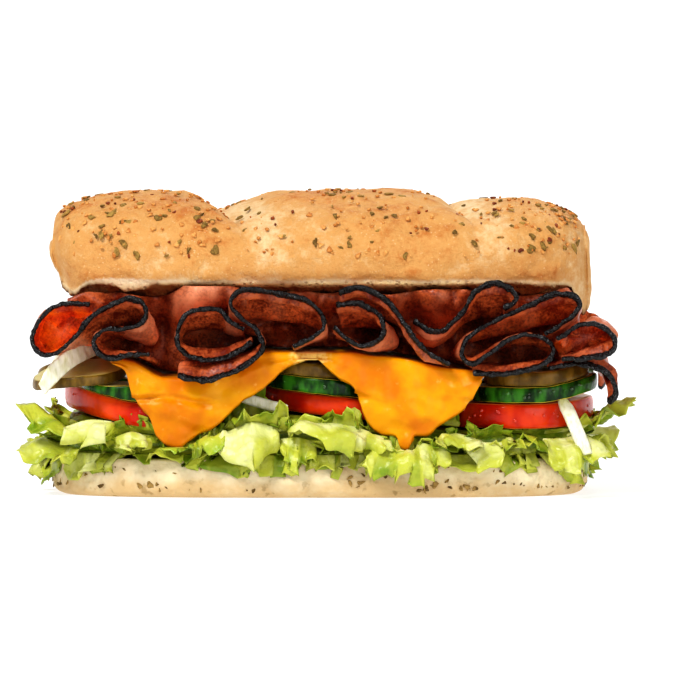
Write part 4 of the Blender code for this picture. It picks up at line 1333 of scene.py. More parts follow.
@dataclass(frozen=True)
class MeatFold(Piece):
    """A thin folded slice of smoked meat that runs through the sandwich.

    Attributes:
        bends: Its rim seen from the front, as x and z.
        front: How far it stands out from the middle.
        thickness: Its thickness.
        glow: Strength of the light that comes through its first half, negative for the other side.
        lit: How strongly the painted highlight covers its outer, convex side.
        seed: Picks its unevenness.
        pocket: Range of the bends that make a closed loop, if there is one.
        pocket_depth: How far in that loop closes.
        rim_front: Reach of the CAD rim, from which the fold is measured inward.
        shoulder: Where the fold meets the bread's edge.
        inner: Where it has settled between the layers.
    """

    bends: tuple[tuple[float, float], ...] = ((0.0, 0.0), (1.0, 0.0))
    front: float = 43.5
    thickness: float = 1.3
    glow: float = 0.0
    lit: float = 0.3
    seed: int = 7
    pocket: tuple[int, int] | None = None
    pocket_depth: float = 11.0
    rim_front: float = 43.5
    shoulder: float = 40.6
    inner: float = 28.0

    def warp(self, x: Array, depth: Array, z: Array) -> tuple[Array, Array]:
        """Carries a rim point at the front to its place further in.

        Args:
            x: Place along the sandwich at the rim.
            depth: Distance from the middle plane.
            z: Height at the rim.

        Returns:
            The place and height there.
        """
        inside = 1.0 - smooth(depth, self.shoulder, self.rim_front)
        lean = 1.0 - smooth(depth, 31.0, self.rim_front)
        x_in = x + lean * (3.2 * bell(x, -56.0, 9.0) + 4.6 * bell(x, 12.0, 9.0) - 2.4 * bell(x, 40.0, 7.0))
        pinch = 1.0 - smooth(depth, 10.0, self.rim_front)
        x_in = x_in + pinch * (8.0 * smooth(-x, 50.0, 84.0) - 4.0 * smooth(x, 50.0, 84.0))
        early = 1.0 - smooth(depth, 37.0, self.rim_front)
        lift = (lean * 3.6 + early * 2.4) * bell(x, -37.0, 8.0)
        low, high = LAYOUT.meat_floor(x), 62.8 + lift
        under = smooth(x_in, -82.0, -78.0) * (1.0 - smooth(x_in, 70.0, 76.0))
        ceiling = 59.6 - (LAYOUT.belly + 0.4) * (1.0 - smooth(depth, self.inner, self.shoulder))
        ceiling = high + (ceiling - high) * under
        floor = LAYOUT.bed_under_meat(x_in) + 0.8
        share = np.clip((z + lift - low) / (high - low), 0.0, 1.0)
        sag = 3.0 * (1.0 - smooth(depth, 14.0, self.shoulder)) * (1.0 - under)
        ends = (6.2 * smooth(x, 69.0, 76.0) * smooth(z, 41.0, 50.0)
                + 4.6 * smooth(-x, 66.0, 74.0) * smooth(z, 44.0, 52.0))
        sag = sag + (1.0 - smooth(depth, 22.0, 42.0)) * ends
        return x_in, z + lift + (floor + share * (ceiling - floor) - z - lift) * inside - sag

    def depths(self) -> Array:
        """Places from the front to the back, close together near the rims."""
        near = np.concatenate([np.linspace(0.0, 2.6, 12), np.linspace(3.4, 16.0, 15)[:-1]])
        inside = np.linspace(self.front - 16.0, -(self.front - 16.0), 13)
        return -np.concatenate([self.front - near, inside, -(self.front - near)[::-1]])

    def shape(self) -> Shape:
        path = spline(self.bends, 0.68)
        along = np.gradient(path, axis=0)
        along /= np.linalg.norm(along, axis=1, keepdims=True)
        normal = np.column_stack([-along[:, 1], along[:, 0]])
        y = self.depths()
        ragged = 0.45 * Ripple(7.0, self.seed)(np.column_stack([path, path[:, 0] * 0.0]))
        ragged += 0.25 * Ripple(2.2, self.seed + 1)(np.column_stack([path, path[:, 0] * 0.0]))
        stretch = 1.0 + (ragged[:, None] / self.front) * smooth(np.abs(y), 30.0, self.front)[None]
        depth = np.abs(y)[None] * stretch
        scaled = (np.minimum(np.abs(y), self.front)[None] / self.front * self.rim_front
                  + np.zeros((len(path), 1)))
        scaled = np.where(np.abs(y)[None] < self.shoulder, np.abs(y)[None], scaled)
        sides = []
        for side in (1.0, -1.0):
            offset = path + normal * side * self.thickness / 2.0
            x_in, z_in = self.warp(offset[:, :1], scaled, offset[:, 1:])
            ends = 4.4 * smooth(offset[:, :1], 69.0, 76.0) + 3.6 * smooth(-offset[:, :1], 66.0, 74.0)
            z_in = z_in - ends * smooth(offset[:, 1:], 43.0, 51.0) * smooth(y, 4.0, 38.0)[None]
            sides.append(np.stack([x_in, np.sign(y)[None] * depth, z_in], axis=-1))
        swell = 0.16 * Ripple(5.0, self.seed + 2)(sides[0]) + 0.07 * Ripple(2.0, self.seed + 3)(sides[0])
        thick = sides[0] - sides[1]
        thick /= np.maximum(np.linalg.norm(thick, axis=-1, keepdims=True), 1e-9)
        from_edge = self.front - np.abs(y)
        tail = 0.42 * (1.0 - smooth(from_edge, 0.6, 6.5))
        rim = np.repeat((0.58 * (1.0 - smooth(from_edge, 0.2, 1.1)) + tail)[None], len(path), 0)
        beads = (0.02 + 0.09 * Ripple(4.4, self.seed + 8)(sides[0])
                 + 0.09 * Ripple(1.5, self.seed + 4)(sides[0]))
        grit = (1.0 - smooth(from_edge, 0.5, 2.2)[None]) * beads
        sides = [grid + thick * ((swell + grit * sign) * 0.8)[..., None] for grid,
                 sign in zip(sides, (1.0, -1.0))]
        turn = np.gradient(np.unwrap(np.arctan2(along[:, 1], along[:, 0]))) / 0.68
        window = np.hanning(11) / np.hanning(11).sum()
        turn = np.convolve(np.pad(turn, 5, mode="edge"), window, mode="valid")[:, None]
        patch = 0.5 + 0.4 * Ripple(11.0, self.seed + 5)(sides[0])
        # outer marks the convex side of each fold near the front for the painted highlight.
        near = (1.0 - smooth(from_edge, 16.0, 24.0))[None]
        outer = np.stack([np.clip(self.lit * (0.5 + patch) * near * smooth(sign * turn, -0.03, 0.08), 0.0,
                                  1.0)
                          for sign in (-1.0, 1.0)])
        share = np.linspace(0.0, 1.0, len(path))[:, None]
        lamp = np.clip(np.abs(self.glow) * (0.55 + 0.7 * patch) * (1.0 - smooth(share, 0.42, 0.62)), 0.0, 1.0)
        glow = np.stack([lamp * float(self.glow > 0.0), lamp * float(self.glow < 0.0)])
        fold = Shape.sheet(sides[0], sides[1], {"rim": rim, "glow": glow, "outer": outer}, 0.25)
        if self.pocket is None:
            return fold
        return Shape.joined([fold, *(self.closed_pocket(side) for side in (-1.0, 1.0))])

    def closed_pocket(self, side: float) -> Shape:
        """The crumpled flesh that closes one loop some way in.

        Args:
            side: -1 for the front and 1 for the back.

        Returns:
            A dished patch across the loop.
        """
        loop = spline(self.bends[self.pocket[0]:self.pocket[1]], 0.9)
        centre = loop.mean(axis=0)
        rings = []
        for share in np.linspace(1.04, 0.04, 14):
            ring = centre + (loop - centre) * share
            depth = self.pocket_depth - 3.0 * share + 1.2 * Ripple(6.0, self.seed + 6)(
                np.column_stack([ring, ring[:, 0] * 0.0]))
            far = self.front - depth
            x, z = self.warp(ring[:, 0], far, ring[:, 1])
            rings.append(np.column_stack([x, side * far, z]))
        grid = np.array(rings)
        zero = np.zeros(grid.shape[:2])
        patch = np.clip(0.5 + 0.45 * Ripple(7.0, self.seed + 7)(grid), 0.0, 1.2)
        return Shape.tube(grid, {"rim": zero, "glow": np.clip(abs(self.glow) * patch, 0.0, 1.0),
                                 "outer": zero + 0.1})


@dataclass(frozen=True)
class InnerMeat(Piece):
    """Crumpled inner parts of the slices, seen dark between the folds, partly by real shadow and partly by
    painted shade.

    Attributes:
        depth: How far from the middle plane they stand.
    """

    depth: float = 19.0

    def shape(self) -> Shape:
        x = np.linspace(-75.0, 69.0, 140)[:, None]
        share = np.linspace(0.0, 1.0, 20)[None]
        walls = []
        for side in (-1.0, 1.0):
            flat = np.concatenate([x, x * 0.0 + side * 20.0, x * 0.0], axis=1)[:, None]
            hump = bell(x, -38.6, 5.6)
            top = self.depth + 11.0 + 2.6 * Ripple(17.0, 84)(flat) + 7.0 * hump
            high = LAYOUT.cut_edge(x) - LAYOUT.cut_drop(x, top) - 0.4
            low = LAYOUT.bed_under_meat(x) + 1.0
            z = low + (high - low) * share
            place = np.stack([x + z * 0.0, z * 0.0 + side * 20.0, z], -1)
            y = side * (self.depth + (top - self.depth) * smooth(share, 0.45 - 0.2 * hump, 0.95))
            y = (y + side * (2.4 * Ripple(11.0, 81)(place * (1.0, 1.0, 0.5)) + 0.9 * Ripple(5.0, 82)(place))
                 * (1.0 - hump))
            grid = np.stack([x + z * 0.0, y, z], -1)
            zero = np.zeros_like(z)
            # The outer mark also paints the highlight colour on the hump.
            outer = np.clip(0.1 + 0.25 * Ripple(9.0, 83)(grid) + 1.1 * hump * smooth(share, 0.3, 0.7), 0.0,
                            1.0)
            # Painted shade: the rim mark darkens the inner walls, except on the hump.
            shade = 0.3 * (1.0 - hump) + zero
            walls.append(Shape.sheet(grid, grid + (0.0, 1.2, 0.0),
                                     {"rim": shade, "glow": zero, "outer": outer}, 0.3))
        return Shape.joined(walls)


@dataclass(frozen=True)
class OnionStrip(Piece):
    """A strip of onion along a curve.

    Attributes:
        path: Points that its middle passes through.
        width: Its width.
        thickness: Its thickness.
        across: Direction of its width.
    """

    path: tuple[tuple[float, float, float], ...] = ((0.0, 0.0, 0.0), (0.0, 0.0, 1.0))
    width: float = 3.0
    thickness: float = 1.2
    across: tuple[float, float, float] = (1.0, 0.0, 0.0)

    def shape(self) -> Shape:
        curve = spline(self.path, 0.35)
        across = np.array(self.across) / np.linalg.norm(self.across)
        normal = np.cross(np.gradient(curve, axis=0), across)
        normal /= np.linalg.norm(normal, axis=1, keepdims=True)
        share = np.linspace(0.0, 1.0, len(curve))
        taper = 0.72 + 0.28 * np.minimum(1.0, 6.0 * np.minimum(share, 1.0 - share))
        spread = np.linspace(-0.5, 0.5, 13)
        middle = curve[:, None] + across * (self.width * taper[:, None, None] * spread[None, :, None])
        middle = middle + normal[:, None] * (0.7 * (0.25 - spread ** 2))[None, :, None]
        middle = middle + normal[:, None] * 0.08 * Ripple(3.0, 31)(middle)[..., None]
        half = self.thickness / 2.0 * (1.0 - (2.0 * np.abs(spread)) ** 4.0 * 0.35)
        sides = [middle + normal[:, None] * (half * side)[None, :, None] for side in (1.0, -1.0)]
        return Shape.sheet(sides[0], sides[1], {}, 0.3)


@dataclass(frozen=True)
class Leaf:
    """One ruffled leaf that grows from a base line.

    Attributes:
        base: Points that the base line passes through.
        ways: Directions in which it grows, spread evenly along the base.
        reach: Its length from the base.
        curl: How far it bends over that length, in radians.
        ruffle: Height of its large waves.
        wave: Distance between the large waves.
        frill: Height of the small waves at its margin.
        tone: Its greenness, 0 pale to 1 green.
        seed: Picks its waves.
    """

    base: tuple[tuple[float, float, float], ...]
    ways: tuple[tuple[float, float, float], ...]
    reach: float
    curl: float = 0.0
    ruffle: float = 2.2
    wave: float = 10.0
    frill: float = 0.8
    tone: float = 0.5
    seed: int = 1

    def shape(self, ceiling: Callable[[Array, Array], Array]) -> Shape:
        """The leaf as a closed thin sheet.

        Args:
            ceiling: Highest z that its neighbours allow at x, y.

        Returns:
            The leaf.
        """
        draw = np.random.default_rng(self.seed)
        shift = draw.uniform(0.0, 2.0 * math.pi, 6)
        line = spline(self.base, 0.62)
        count = len(line)
        share = np.linspace(0.0, 1.0, count)
        spread = np.linspace(0.0, 1.0, len(self.ways))
        way = np.stack([np.interp(share, spread, np.array(self.ways)[:, axis]) for axis in range(3)], axis=1)
        way /= np.linalg.norm(way, axis=1, keepdims=True)
        along = np.gradient(line, axis=0)
        along /= np.linalg.norm(along, axis=1, keepdims=True)
        up = np.cross(along, way)
        up /= np.linalg.norm(up, axis=1, keepdims=True)
        up *= np.where(up[:, 2:] < 0.0, -1.0, 1.0)
        step = np.linspace(0.0, 1.0, 20)
        length = np.concatenate([[0.0], np.cumsum(np.linalg.norm(np.diff(line, axis=0), axis=1))])
        pace = 2.0 * math.pi * length / self.wave
        phase = pace + 1.2 * np.sin(pace / 1.9 + shift[0]) + 1.3 * np.sin(pace / 3.3 + shift[2]) + shift[1]
        lobe = 0.22 + 0.78 * np.sin(math.pi * np.clip(share, 0.0, 1.0)) ** 0.6
        lobe = lobe * (1.0 + 0.15 * np.sin(0.63 * phase + shift[2]) + 0.07 * np.sin(2.3 * phase + shift[3]))
        bend = self.curl * smooth(step, 0.25, 1.1)
        forward = np.concatenate([[0.0], np.cumsum(np.cos(bend))])[:-1] / len(step)
        lift = np.concatenate([[0.0], np.cumsum(np.sin(bend))])[:-1] / len(step)
        body = line[:, None] + self.reach * lobe[:, None, None] * (
            way[:, None] * forward[None, :, None] + up[:, None] * lift[None, :, None])
        face = up[:, None] * np.cos(bend)[None, :, None] - way[:, None] * np.sin(bend)[None, :, None]
        ahead = way[:, None] * np.cos(bend)[None, :, None] + up[:, None] * np.sin(bend)[None, :, None]
        turns = phase[:, None] + 0.9 * step[None] + 0.7 * np.sin(3.0 * step[None] + 0.7 * phase[:, None])
        large = self.ruffle * step[None] ** 2.0 * (0.65 + 0.4 * np.sin(0.41 * phase + shift[4]))[:, None]
        fold = -0.17 * self.wave * step[None] ** 1.5 * np.sin(2.0 * turns)
        quick = 2.7 * turns + 1.3 * np.sin(turns)
        small = self.frill * smooth(step, 0.45,
                                    1.0)[None] * (0.6 + 0.5 * np.sin(0.77 * phase + shift[5]))[:, None]
        teeth = 0.38 * self.frill * smooth(step, 0.7, 1.0)[None]
        rapid = 5.6 * turns + 1.7 * np.sin(1.3 * turns + shift[2])
        body = (body
                + face * (large * np.sin(turns) + small * np.sin(quick) + teeth * np.sin(rapid))[..., None])
        body = body + along[:, None] * fold[..., None]
        body = body + ahead * (0.7 * small * np.cos(quick + 0.6) + teeth * np.cos(rapid))[..., None]
        crumple = 0.16 * Ripple(2.8, self.seed)(body) + 0.8 * Ripple(10.0, self.seed + 1)(body)
        body = body + face * (crumple * smooth(step, 0.1, 0.5)[None])[..., None]
        body = Leaf.kept_clear(body, ceiling)
        normal = grid_normals(body)
        half = 0.3 - 0.16 * step[None, :, None]
        vein = np.abs((length[:, None] / 3.6 + 0.5 * np.sin(2.0 * step[None] + shift[3])) % 1.0 - 0.5)
        # The fold mark picks one side of each wave for the painted shade.
        marks = {"edge": np.repeat(step[None], count, 0), "tone": np.full((count, len(step)), self.tone),
                 "vein": vein + 0.12 * step[None], "fold": np.clip(0.5 - 0.5 * np.sin(turns), 0.0, 1.0)}
        return Shape.sheet(body + normal * half, body - normal * half, marks, 0.12)

    @staticmethod
    def kept_clear(body: Array, ceiling: Callable[[Array, Array], Array]) -> Array:
        """Keeps a leaf off the bread and its other neighbours."""
        x, y, z = body[..., 0], body[..., 1], body[..., 2]
        z = np.minimum(z, ceiling(x, y))
        z = np.where(z < 2.6, 2.6 - 0.9 * np.tanh((2.6 - z) / 3.0), z)
        y = np.where(np.abs(y) > 44.5, np.sign(y) * (44.5 + 2.6 * np.tanh((np.abs(y) - 44.5) / 4.0)), y)
        share = (np.abs((x - LAYOUT.middle) / (LAYOUT.half_length + 0.6)) ** LAYOUT.exponent
                 + np.abs(y / (LAYOUT.half_depth + 0.6)) ** LAYOUT.exponent) ** (1.0 / LAYOUT.exponent)
        beside = (share < 1.0) & (z < 12.3)
        low = beside & (z < 9.5)
        push = np.where(low, 1.0 / np.maximum(share, 0.5), 1.0)
        x = LAYOUT.middle + (x - LAYOUT.middle) * push
        y = y * push
        z = np.where(beside & ~low, 12.3, z)
        return np.stack([x, y, z], axis=-1)


@dataclass(frozen=True)
class Skirt:
    """Rule that sets ruffled leaves side by side round the bread.

    Attributes:
        count: How many leaves.
        start: Where the first one starts round the outline, 0 to 1.
        stretch: Length of a leaf as a share of its even spacing.
        reach: Shortest and longest reach.
        height: Lowest and highest base.
        rise: Smallest and largest upward slope at the base, in radians.
        curl: Smallest and largest bend.
        ruffle: Smallest and largest large wave.
        wave: Smallest and largest distance between the waves.
        frill: Smallest and largest small wave.
        tone: Palest and greenest tone.
        seed: Picks the leaves.
    """

    count: int
    start: float
    stretch: float
    reach: tuple[float, float]
    height: tuple[float, float]
    rise: tuple[float, float]
    curl: tuple[float, float]
    ruffle: tuple[float, float]
    wave: tuple[float, float]
    frill: tuple[float, float]
    tone: tuple[float, float]
    seed: int

    def leaves(self) -> list[Leaf]:
        """The leaves of the skirt."""
        draw = np.random.default_rng(self.seed)
        made = []
        for number in range(self.count):
            middle = self.start + (number + draw.uniform(-0.2, 0.2)) / self.count
            half = self.stretch / self.count / 2.0 * draw.uniform(0.8, 1.15)
            share = np.linspace(middle - half, middle + half, 7)
            point, way = LAYOUT.outline(share % 1.0, 4.0)
            height = draw.uniform(*self.height) + 1.0 * np.sin(share * 60.0)
            slope = draw.uniform(*self.rise)
            end = np.abs(np.cos(2.0 * math.pi * middle)) ** 6.0
            base = tuple(map(tuple, np.column_stack([point, height])))
            ways = tuple((float(a * math.cos(slope)), float(b * math.cos(slope)), math.sin(slope)) for a,
                         b in way)
            made.append(Leaf(base, ways, draw.uniform(*self.reach) * (1.0 + 0.55 * end),
                             draw.uniform(*self.curl),
                             draw.uniform(*self.ruffle) * (1.0 + 0.4 * end), draw.uniform(*self.wave),
                             draw.uniform(*self.frill), draw.uniform(*self.tone), self.seed * 100 + number))
        return made


@dataclass(frozen=True)
class Lettuce(Piece):
    """The heap of lettuce: a pressed bed and ruffled leaves round it.

    Attributes:
        leaves: The leaves.
        hems: Lower edges of the hanging cheese, which the leaves stay under.
        has_bed: Whether it holds the pressed middle.
    """

    leaves: tuple[Leaf, ...] = ()
    hems: tuple[tuple[tuple[float, float], ...], ...] = ()
    has_bed: bool = True

    def ceiling(self, x: Array, y: Array) -> Array:
        """Highest place that a leaf may take at x, y."""
        high = np.full(x.shape, 60.0)
        for hem in self.hems:
            places, heights = np.array(hem).T
            for offset in (-2.0, 0.0, 2.0):
                inside = (x + offset > places[0]) & (x + offset < places[-1])
                high = np.where(inside, np.minimum(high, np.interp(x + offset, places, heights) - 0.9), high)
        free = np.where((np.abs(y) > 37.4) & (np.abs(y) < 43.5), high, 60.0)
        gap = (np.abs(x + 22.5) < 9.5) | (np.abs(x - 30.5) < 8.5)
        free = np.where(gap & (np.abs(y) > 22.0) & (np.abs(y) < 33.0), 34.0, free)
        inner = smooth(np.abs(y), 33.0, 36.5) * 30.0 + smooth(np.abs(x - LAYOUT.middle), 72.0, 77.0) * 30.0
        inner = np.where(gap & (np.abs(y) > 22.0), 30.0, inner)
        return np.minimum(free, LAYOUT.bed_top(x) + 0.2 + inner)

    def bed(self) -> Shape:
        """The pressed middle between bread and tomato."""
        x = np.linspace(-75.0, 70.0, 150)
        across = np.linspace(-1.0, 1.0, 60)
        half = 33.5 * np.maximum(LAYOUT.reach(x, LAYOUT.exponent, LAYOUT.exponent), 0.5)
        y = half[:, None] * across[None]
        grid_x = np.repeat(x[:, None], 60, 1)
        edge = 1.2 * smooth(np.abs(across), 0.85, 1.0)[None] + 1.2 * smooth(np.abs(grid_x + 2.5), 68.0, 72.5)
        flat = np.stack([grid_x, y, grid_x * 0.0], -1)
        dip = 0.3 + 0.3 * Ripple(6.0, 51)(flat)
        low = np.stack([grid_x, y, 11.7 + 0.4 * np.clip(dip, 0.0, 1.0) + edge], -1)
        high = np.stack([grid_x, y, LAYOUT.bed_top(grid_x) - 0.6 * np.clip(dip, 0.0, 1.2) - edge], -1)
        # The fold and tone values paint the hidden bed in shade.
        marks = {"edge": 0.6 + 0.0 * flat[..., 2], "tone": np.full(y.shape, 0.8),
                 "vein": np.full(y.shape, 0.5),
                 "fold": np.full(y.shape, 0.9)}
        return Shape.sheet(high, low, marks, 0.2)

    def shape(self) -> Shape:
        shapes = [leaf.shape(self.ceiling) for leaf in self.leaves]
        if self.has_bed:
            shapes.append(self.bed())
        return Shape.joined(shapes)


@dataclass(frozen=True)
class Drops(Piece):
    """Small water drops on the rims of the wet slices.

    Attributes:
        hosts: Slices that carry drops, with the number on each.
        seed: Picks the places.
    """

    hosts: tuple[tuple[Disc, int], ...] = ()
    seed: int = 61

    def shape(self) -> Shape:
        draw = np.random.default_rng(self.seed)
        drops = []
        for host, count in self.hosts:
            for _ in range(count):
                angle = draw.uniform(-0.85, -0.12) * math.pi
                share = draw.uniform(0.3, 0.75)
                x = host.centre[0] + host.radii[0] * math.cos(angle)
                y = host.centre[1] + host.radii[1] * math.sin(angle)
                z = float(host.low(np.array(x), np.array(y)) + host.thickness(np.array(x)) * share)
                size = draw.uniform(0.22, 0.62)
                turn = np.linspace(0.12, math.pi - 0.12, 9)
                spin = np.arange(14) * 2.0 * math.pi / 14.0
                rings = np.stack([np.sin(turn)[:, None] * np.cos(spin)[None],
                                  np.sin(turn)[:, None] * np.sin(spin)[None],
                                  np.repeat(np.cos(turn)[:, None], 14, 1)], -1)
                full = np.ones(rings.shape[:2])
                drops.append(Shape.tube(rings * (size, size * 0.6, size) + (x, y - 0.05, z),
                                        {"skin": full, "core": full * 0.0}))
        return Shape.joined(drops)


# The real pieces
CHEESE_HEMS = (
    ((-62.0, 38.6), (-58.6, 36.6), (-56.4, 29.6), (-52.2, 24.6), (-49.8, 18.8), (-46.4, 15.6), (-42.4, 15.4),
     (-38.4, 18.2), (-32.0, 21.8), (-25.0, 28.4), (-18.7, 32.4), (-12.0, 38.0), (-3.5, 40.6)),
    ((-3.7, 40.2), (1.6, 35.6), (6.8, 32.0), (10.4, 23.0), (14.0, 19.2), (18.2, 18.6), (19.3, 17.4),
     (19.8, 15.4),
     (21.4, 14.4), (23.0, 15.4), (23.5, 17.4), (24.6, 18.6), (28.4, 18.8), (32.0, 22.0), (38.6, 26.4),
     (43.4, 33.4)),
)
MEAT_BENDS = (
    ((-68.6, 55.8), (-74.0, 56.2), (-80.1, 54.4), (-84.0, 49.6), (-84.9, 44.6), (-82.2, 41.2), (-77.6, 42.2),
     (-73.2, 46.0), (-69.4, 50.9), (-64.4, 54.6), (-58.2, 57.6), (-53.6, 56.6), (-52.4, 53.2), (-54.6, 49.8),
     (-59.6, 48.8), (-64.6, 48.6), (-67.3, 45.6), (-66.0, 41.8), (-61.6, 40.2), (-56.6, 41.4), (-51.6, 41.6)),
    ((-22.4, 45.0), (-26.4, 42.0), (-32.4, 39.9), (-38.4, 40.4), (-42.8, 43.4), (-43.6, 47.8), (-41.0, 52.8),
     (-35.6, 54.6), (-31.0, 53.8), (-28.4, 50.8), (-24.6, 48.8)),
    ((-10.4, 43.8), (-5.6, 46.4), (-1.9, 49.2), (-2.6, 53.6), (-7.4, 57.4), (-14.6, 59.2), (-22.6, 60.4),
     (-27.6, 58.6), (-28.0, 54.8), (-24.4, 51.4), (-20.6, 48.0), (-19.2, 43.6), (-22.6, 39.2), (-28.6, 36.0),
     (-36.4, 34.0), (-43.2, 35.6)),
    ((2.0, 55.6), (6.2, 56.3), (11.2, 55.2), (14.8, 51.4), (15.2, 47.6), (12.0, 44.6), (7.2, 44.4),
     (4.4, 46.6),
     (1.2, 49.4)),
    ((2.6, 59.6), (7.6, 61.0), (12.6, 59.6), (16.6, 56.8), (19.6, 53.0), (22.4, 48.6), (25.6, 44.6),
     (29.4, 41.0),
     (34.2, 39.0)),
    ((24.2, 51.6), (28.4, 48.6), (32.4, 48.8), (36.0, 51.6), (38.8, 55.6), (42.2, 60.2), (46.8, 62.0),
     (51.2, 60.8), (53.0, 57.4), (49.8, 54.6)),
    ((61.4, 47.6), (65.4, 49.8), (69.4, 52.6), (71.4, 55.8), (69.2, 58.6), (63.4, 58.6), (56.4, 55.4),
     (49.6, 52.4), (43.0, 49.2), (38.8, 45.6), (37.6, 41.2), (40.6, 38.8), (45.4, 41.4), (51.0, 45.8),
     (56.6, 47.2), (61.6, 45.8), (63.8, 42.2), (60.6, 38.6), (54.6, 36.6), (47.4, 35.6), (41.0, 36.4)),
    ((64.8, 46.0), (69.2, 49.0), (74.6, 50.4), (79.4, 48.2), (81.4, 44.2), (78.2, 41.0), (72.2, 40.4),
     (66.2, 40.2)),
    ((62.6, 37.6), (67.0, 38.4), (72.4, 38.4), (77.4, 36.8), (80.8, 33.6), (81.6, 30.2), (79.6, 27.6)),
)
MEAT_POCKETS = {0: (0, 9), 7: (0, 8)}
MEAT_GLOW = (0.95, 0.0, 0.0, 0.0, 0.0, -0.2, 0.1, -0.5, 0.0)
MEAT_LIT = (0.7, 0.95, 0.8, 0.9, 0.4, 0.6, 0.7, 0.8, 0.2)
ONIONS = (
    (((-66.5, -18.0, 43.2), (-70.0, -27.0, 42.0), (-74.5, -34.0, 39.8), (-79.0, -39.0, 36.0),
      (-82.2, -41.0, 31.6)),
     4.8, 1.2, (-0.45, -0.25, 0.8)),
    (((-27.0, -32.4, 29.4), (-22.0, -33.4, 27.8), (-17.0, -34.2, 26.4), (-12.5, -34.6, 25.6)), 2.6, 1.2,
     (0.25, 0.0, 1.0)),
    (((66.8, -30.2, 27.6), (68.6, -34.4, 24.2), (70.4, -38.0, 20.0), (72.2, -40.4, 15.8),
      (73.6, -41.2, 13.0)),
     3.4, 1.2, (1.0, 0.12, 0.25)),
)
SKIRTS = (
    Skirt(21, 0.01, 1.35, (7.0, 9.5), (12.8, 14.2), (-0.95, -0.35), (-1.1, 0.0), (1.6, 2.8), (6.0, 9.5),
          (0.9, 1.5), (0.15, 0.7), 5),
    Skirt(21, 0.03, 1.25, (6.5, 9.0), (15.0, 17.0), (-0.4, 0.3), (-0.9, 0.4), (2.0, 3.0), (6.0, 9.0),
          (0.9, 1.5), (0.2, 0.9), 6),
    Skirt(17, 0.05, 1.05, (6.0, 8.0), (16.8, 18.2), (0.2, 0.9), (0.2, 1.1), (1.6, 2.6), (5.5, 8.5),
          (0.9, 1.4), (0.3, 1.0), 7),
)
TUCKED_LEAVES = tuple(
    Leaf(((middle - half, 26.0 * side, 20.0), (middle, 26.5 * side, 20.5),
          (middle + half, 26.0 * side, 20.0)),
         ((-0.1, 0.0, 1.0), (0.1, 0.0, 1.0)), 12.0, 0.2 * side, 0.9, 6.0, 0.6, 0.95, 330 + number)
    for number, (middle, half, side) in enumerate(((-22.5, 7.5, -1.0), (30.5, 6.5, -1.0), (-22.5, 7.5, 1.0),
                                                   (30.5, 6.5, 1.0))))
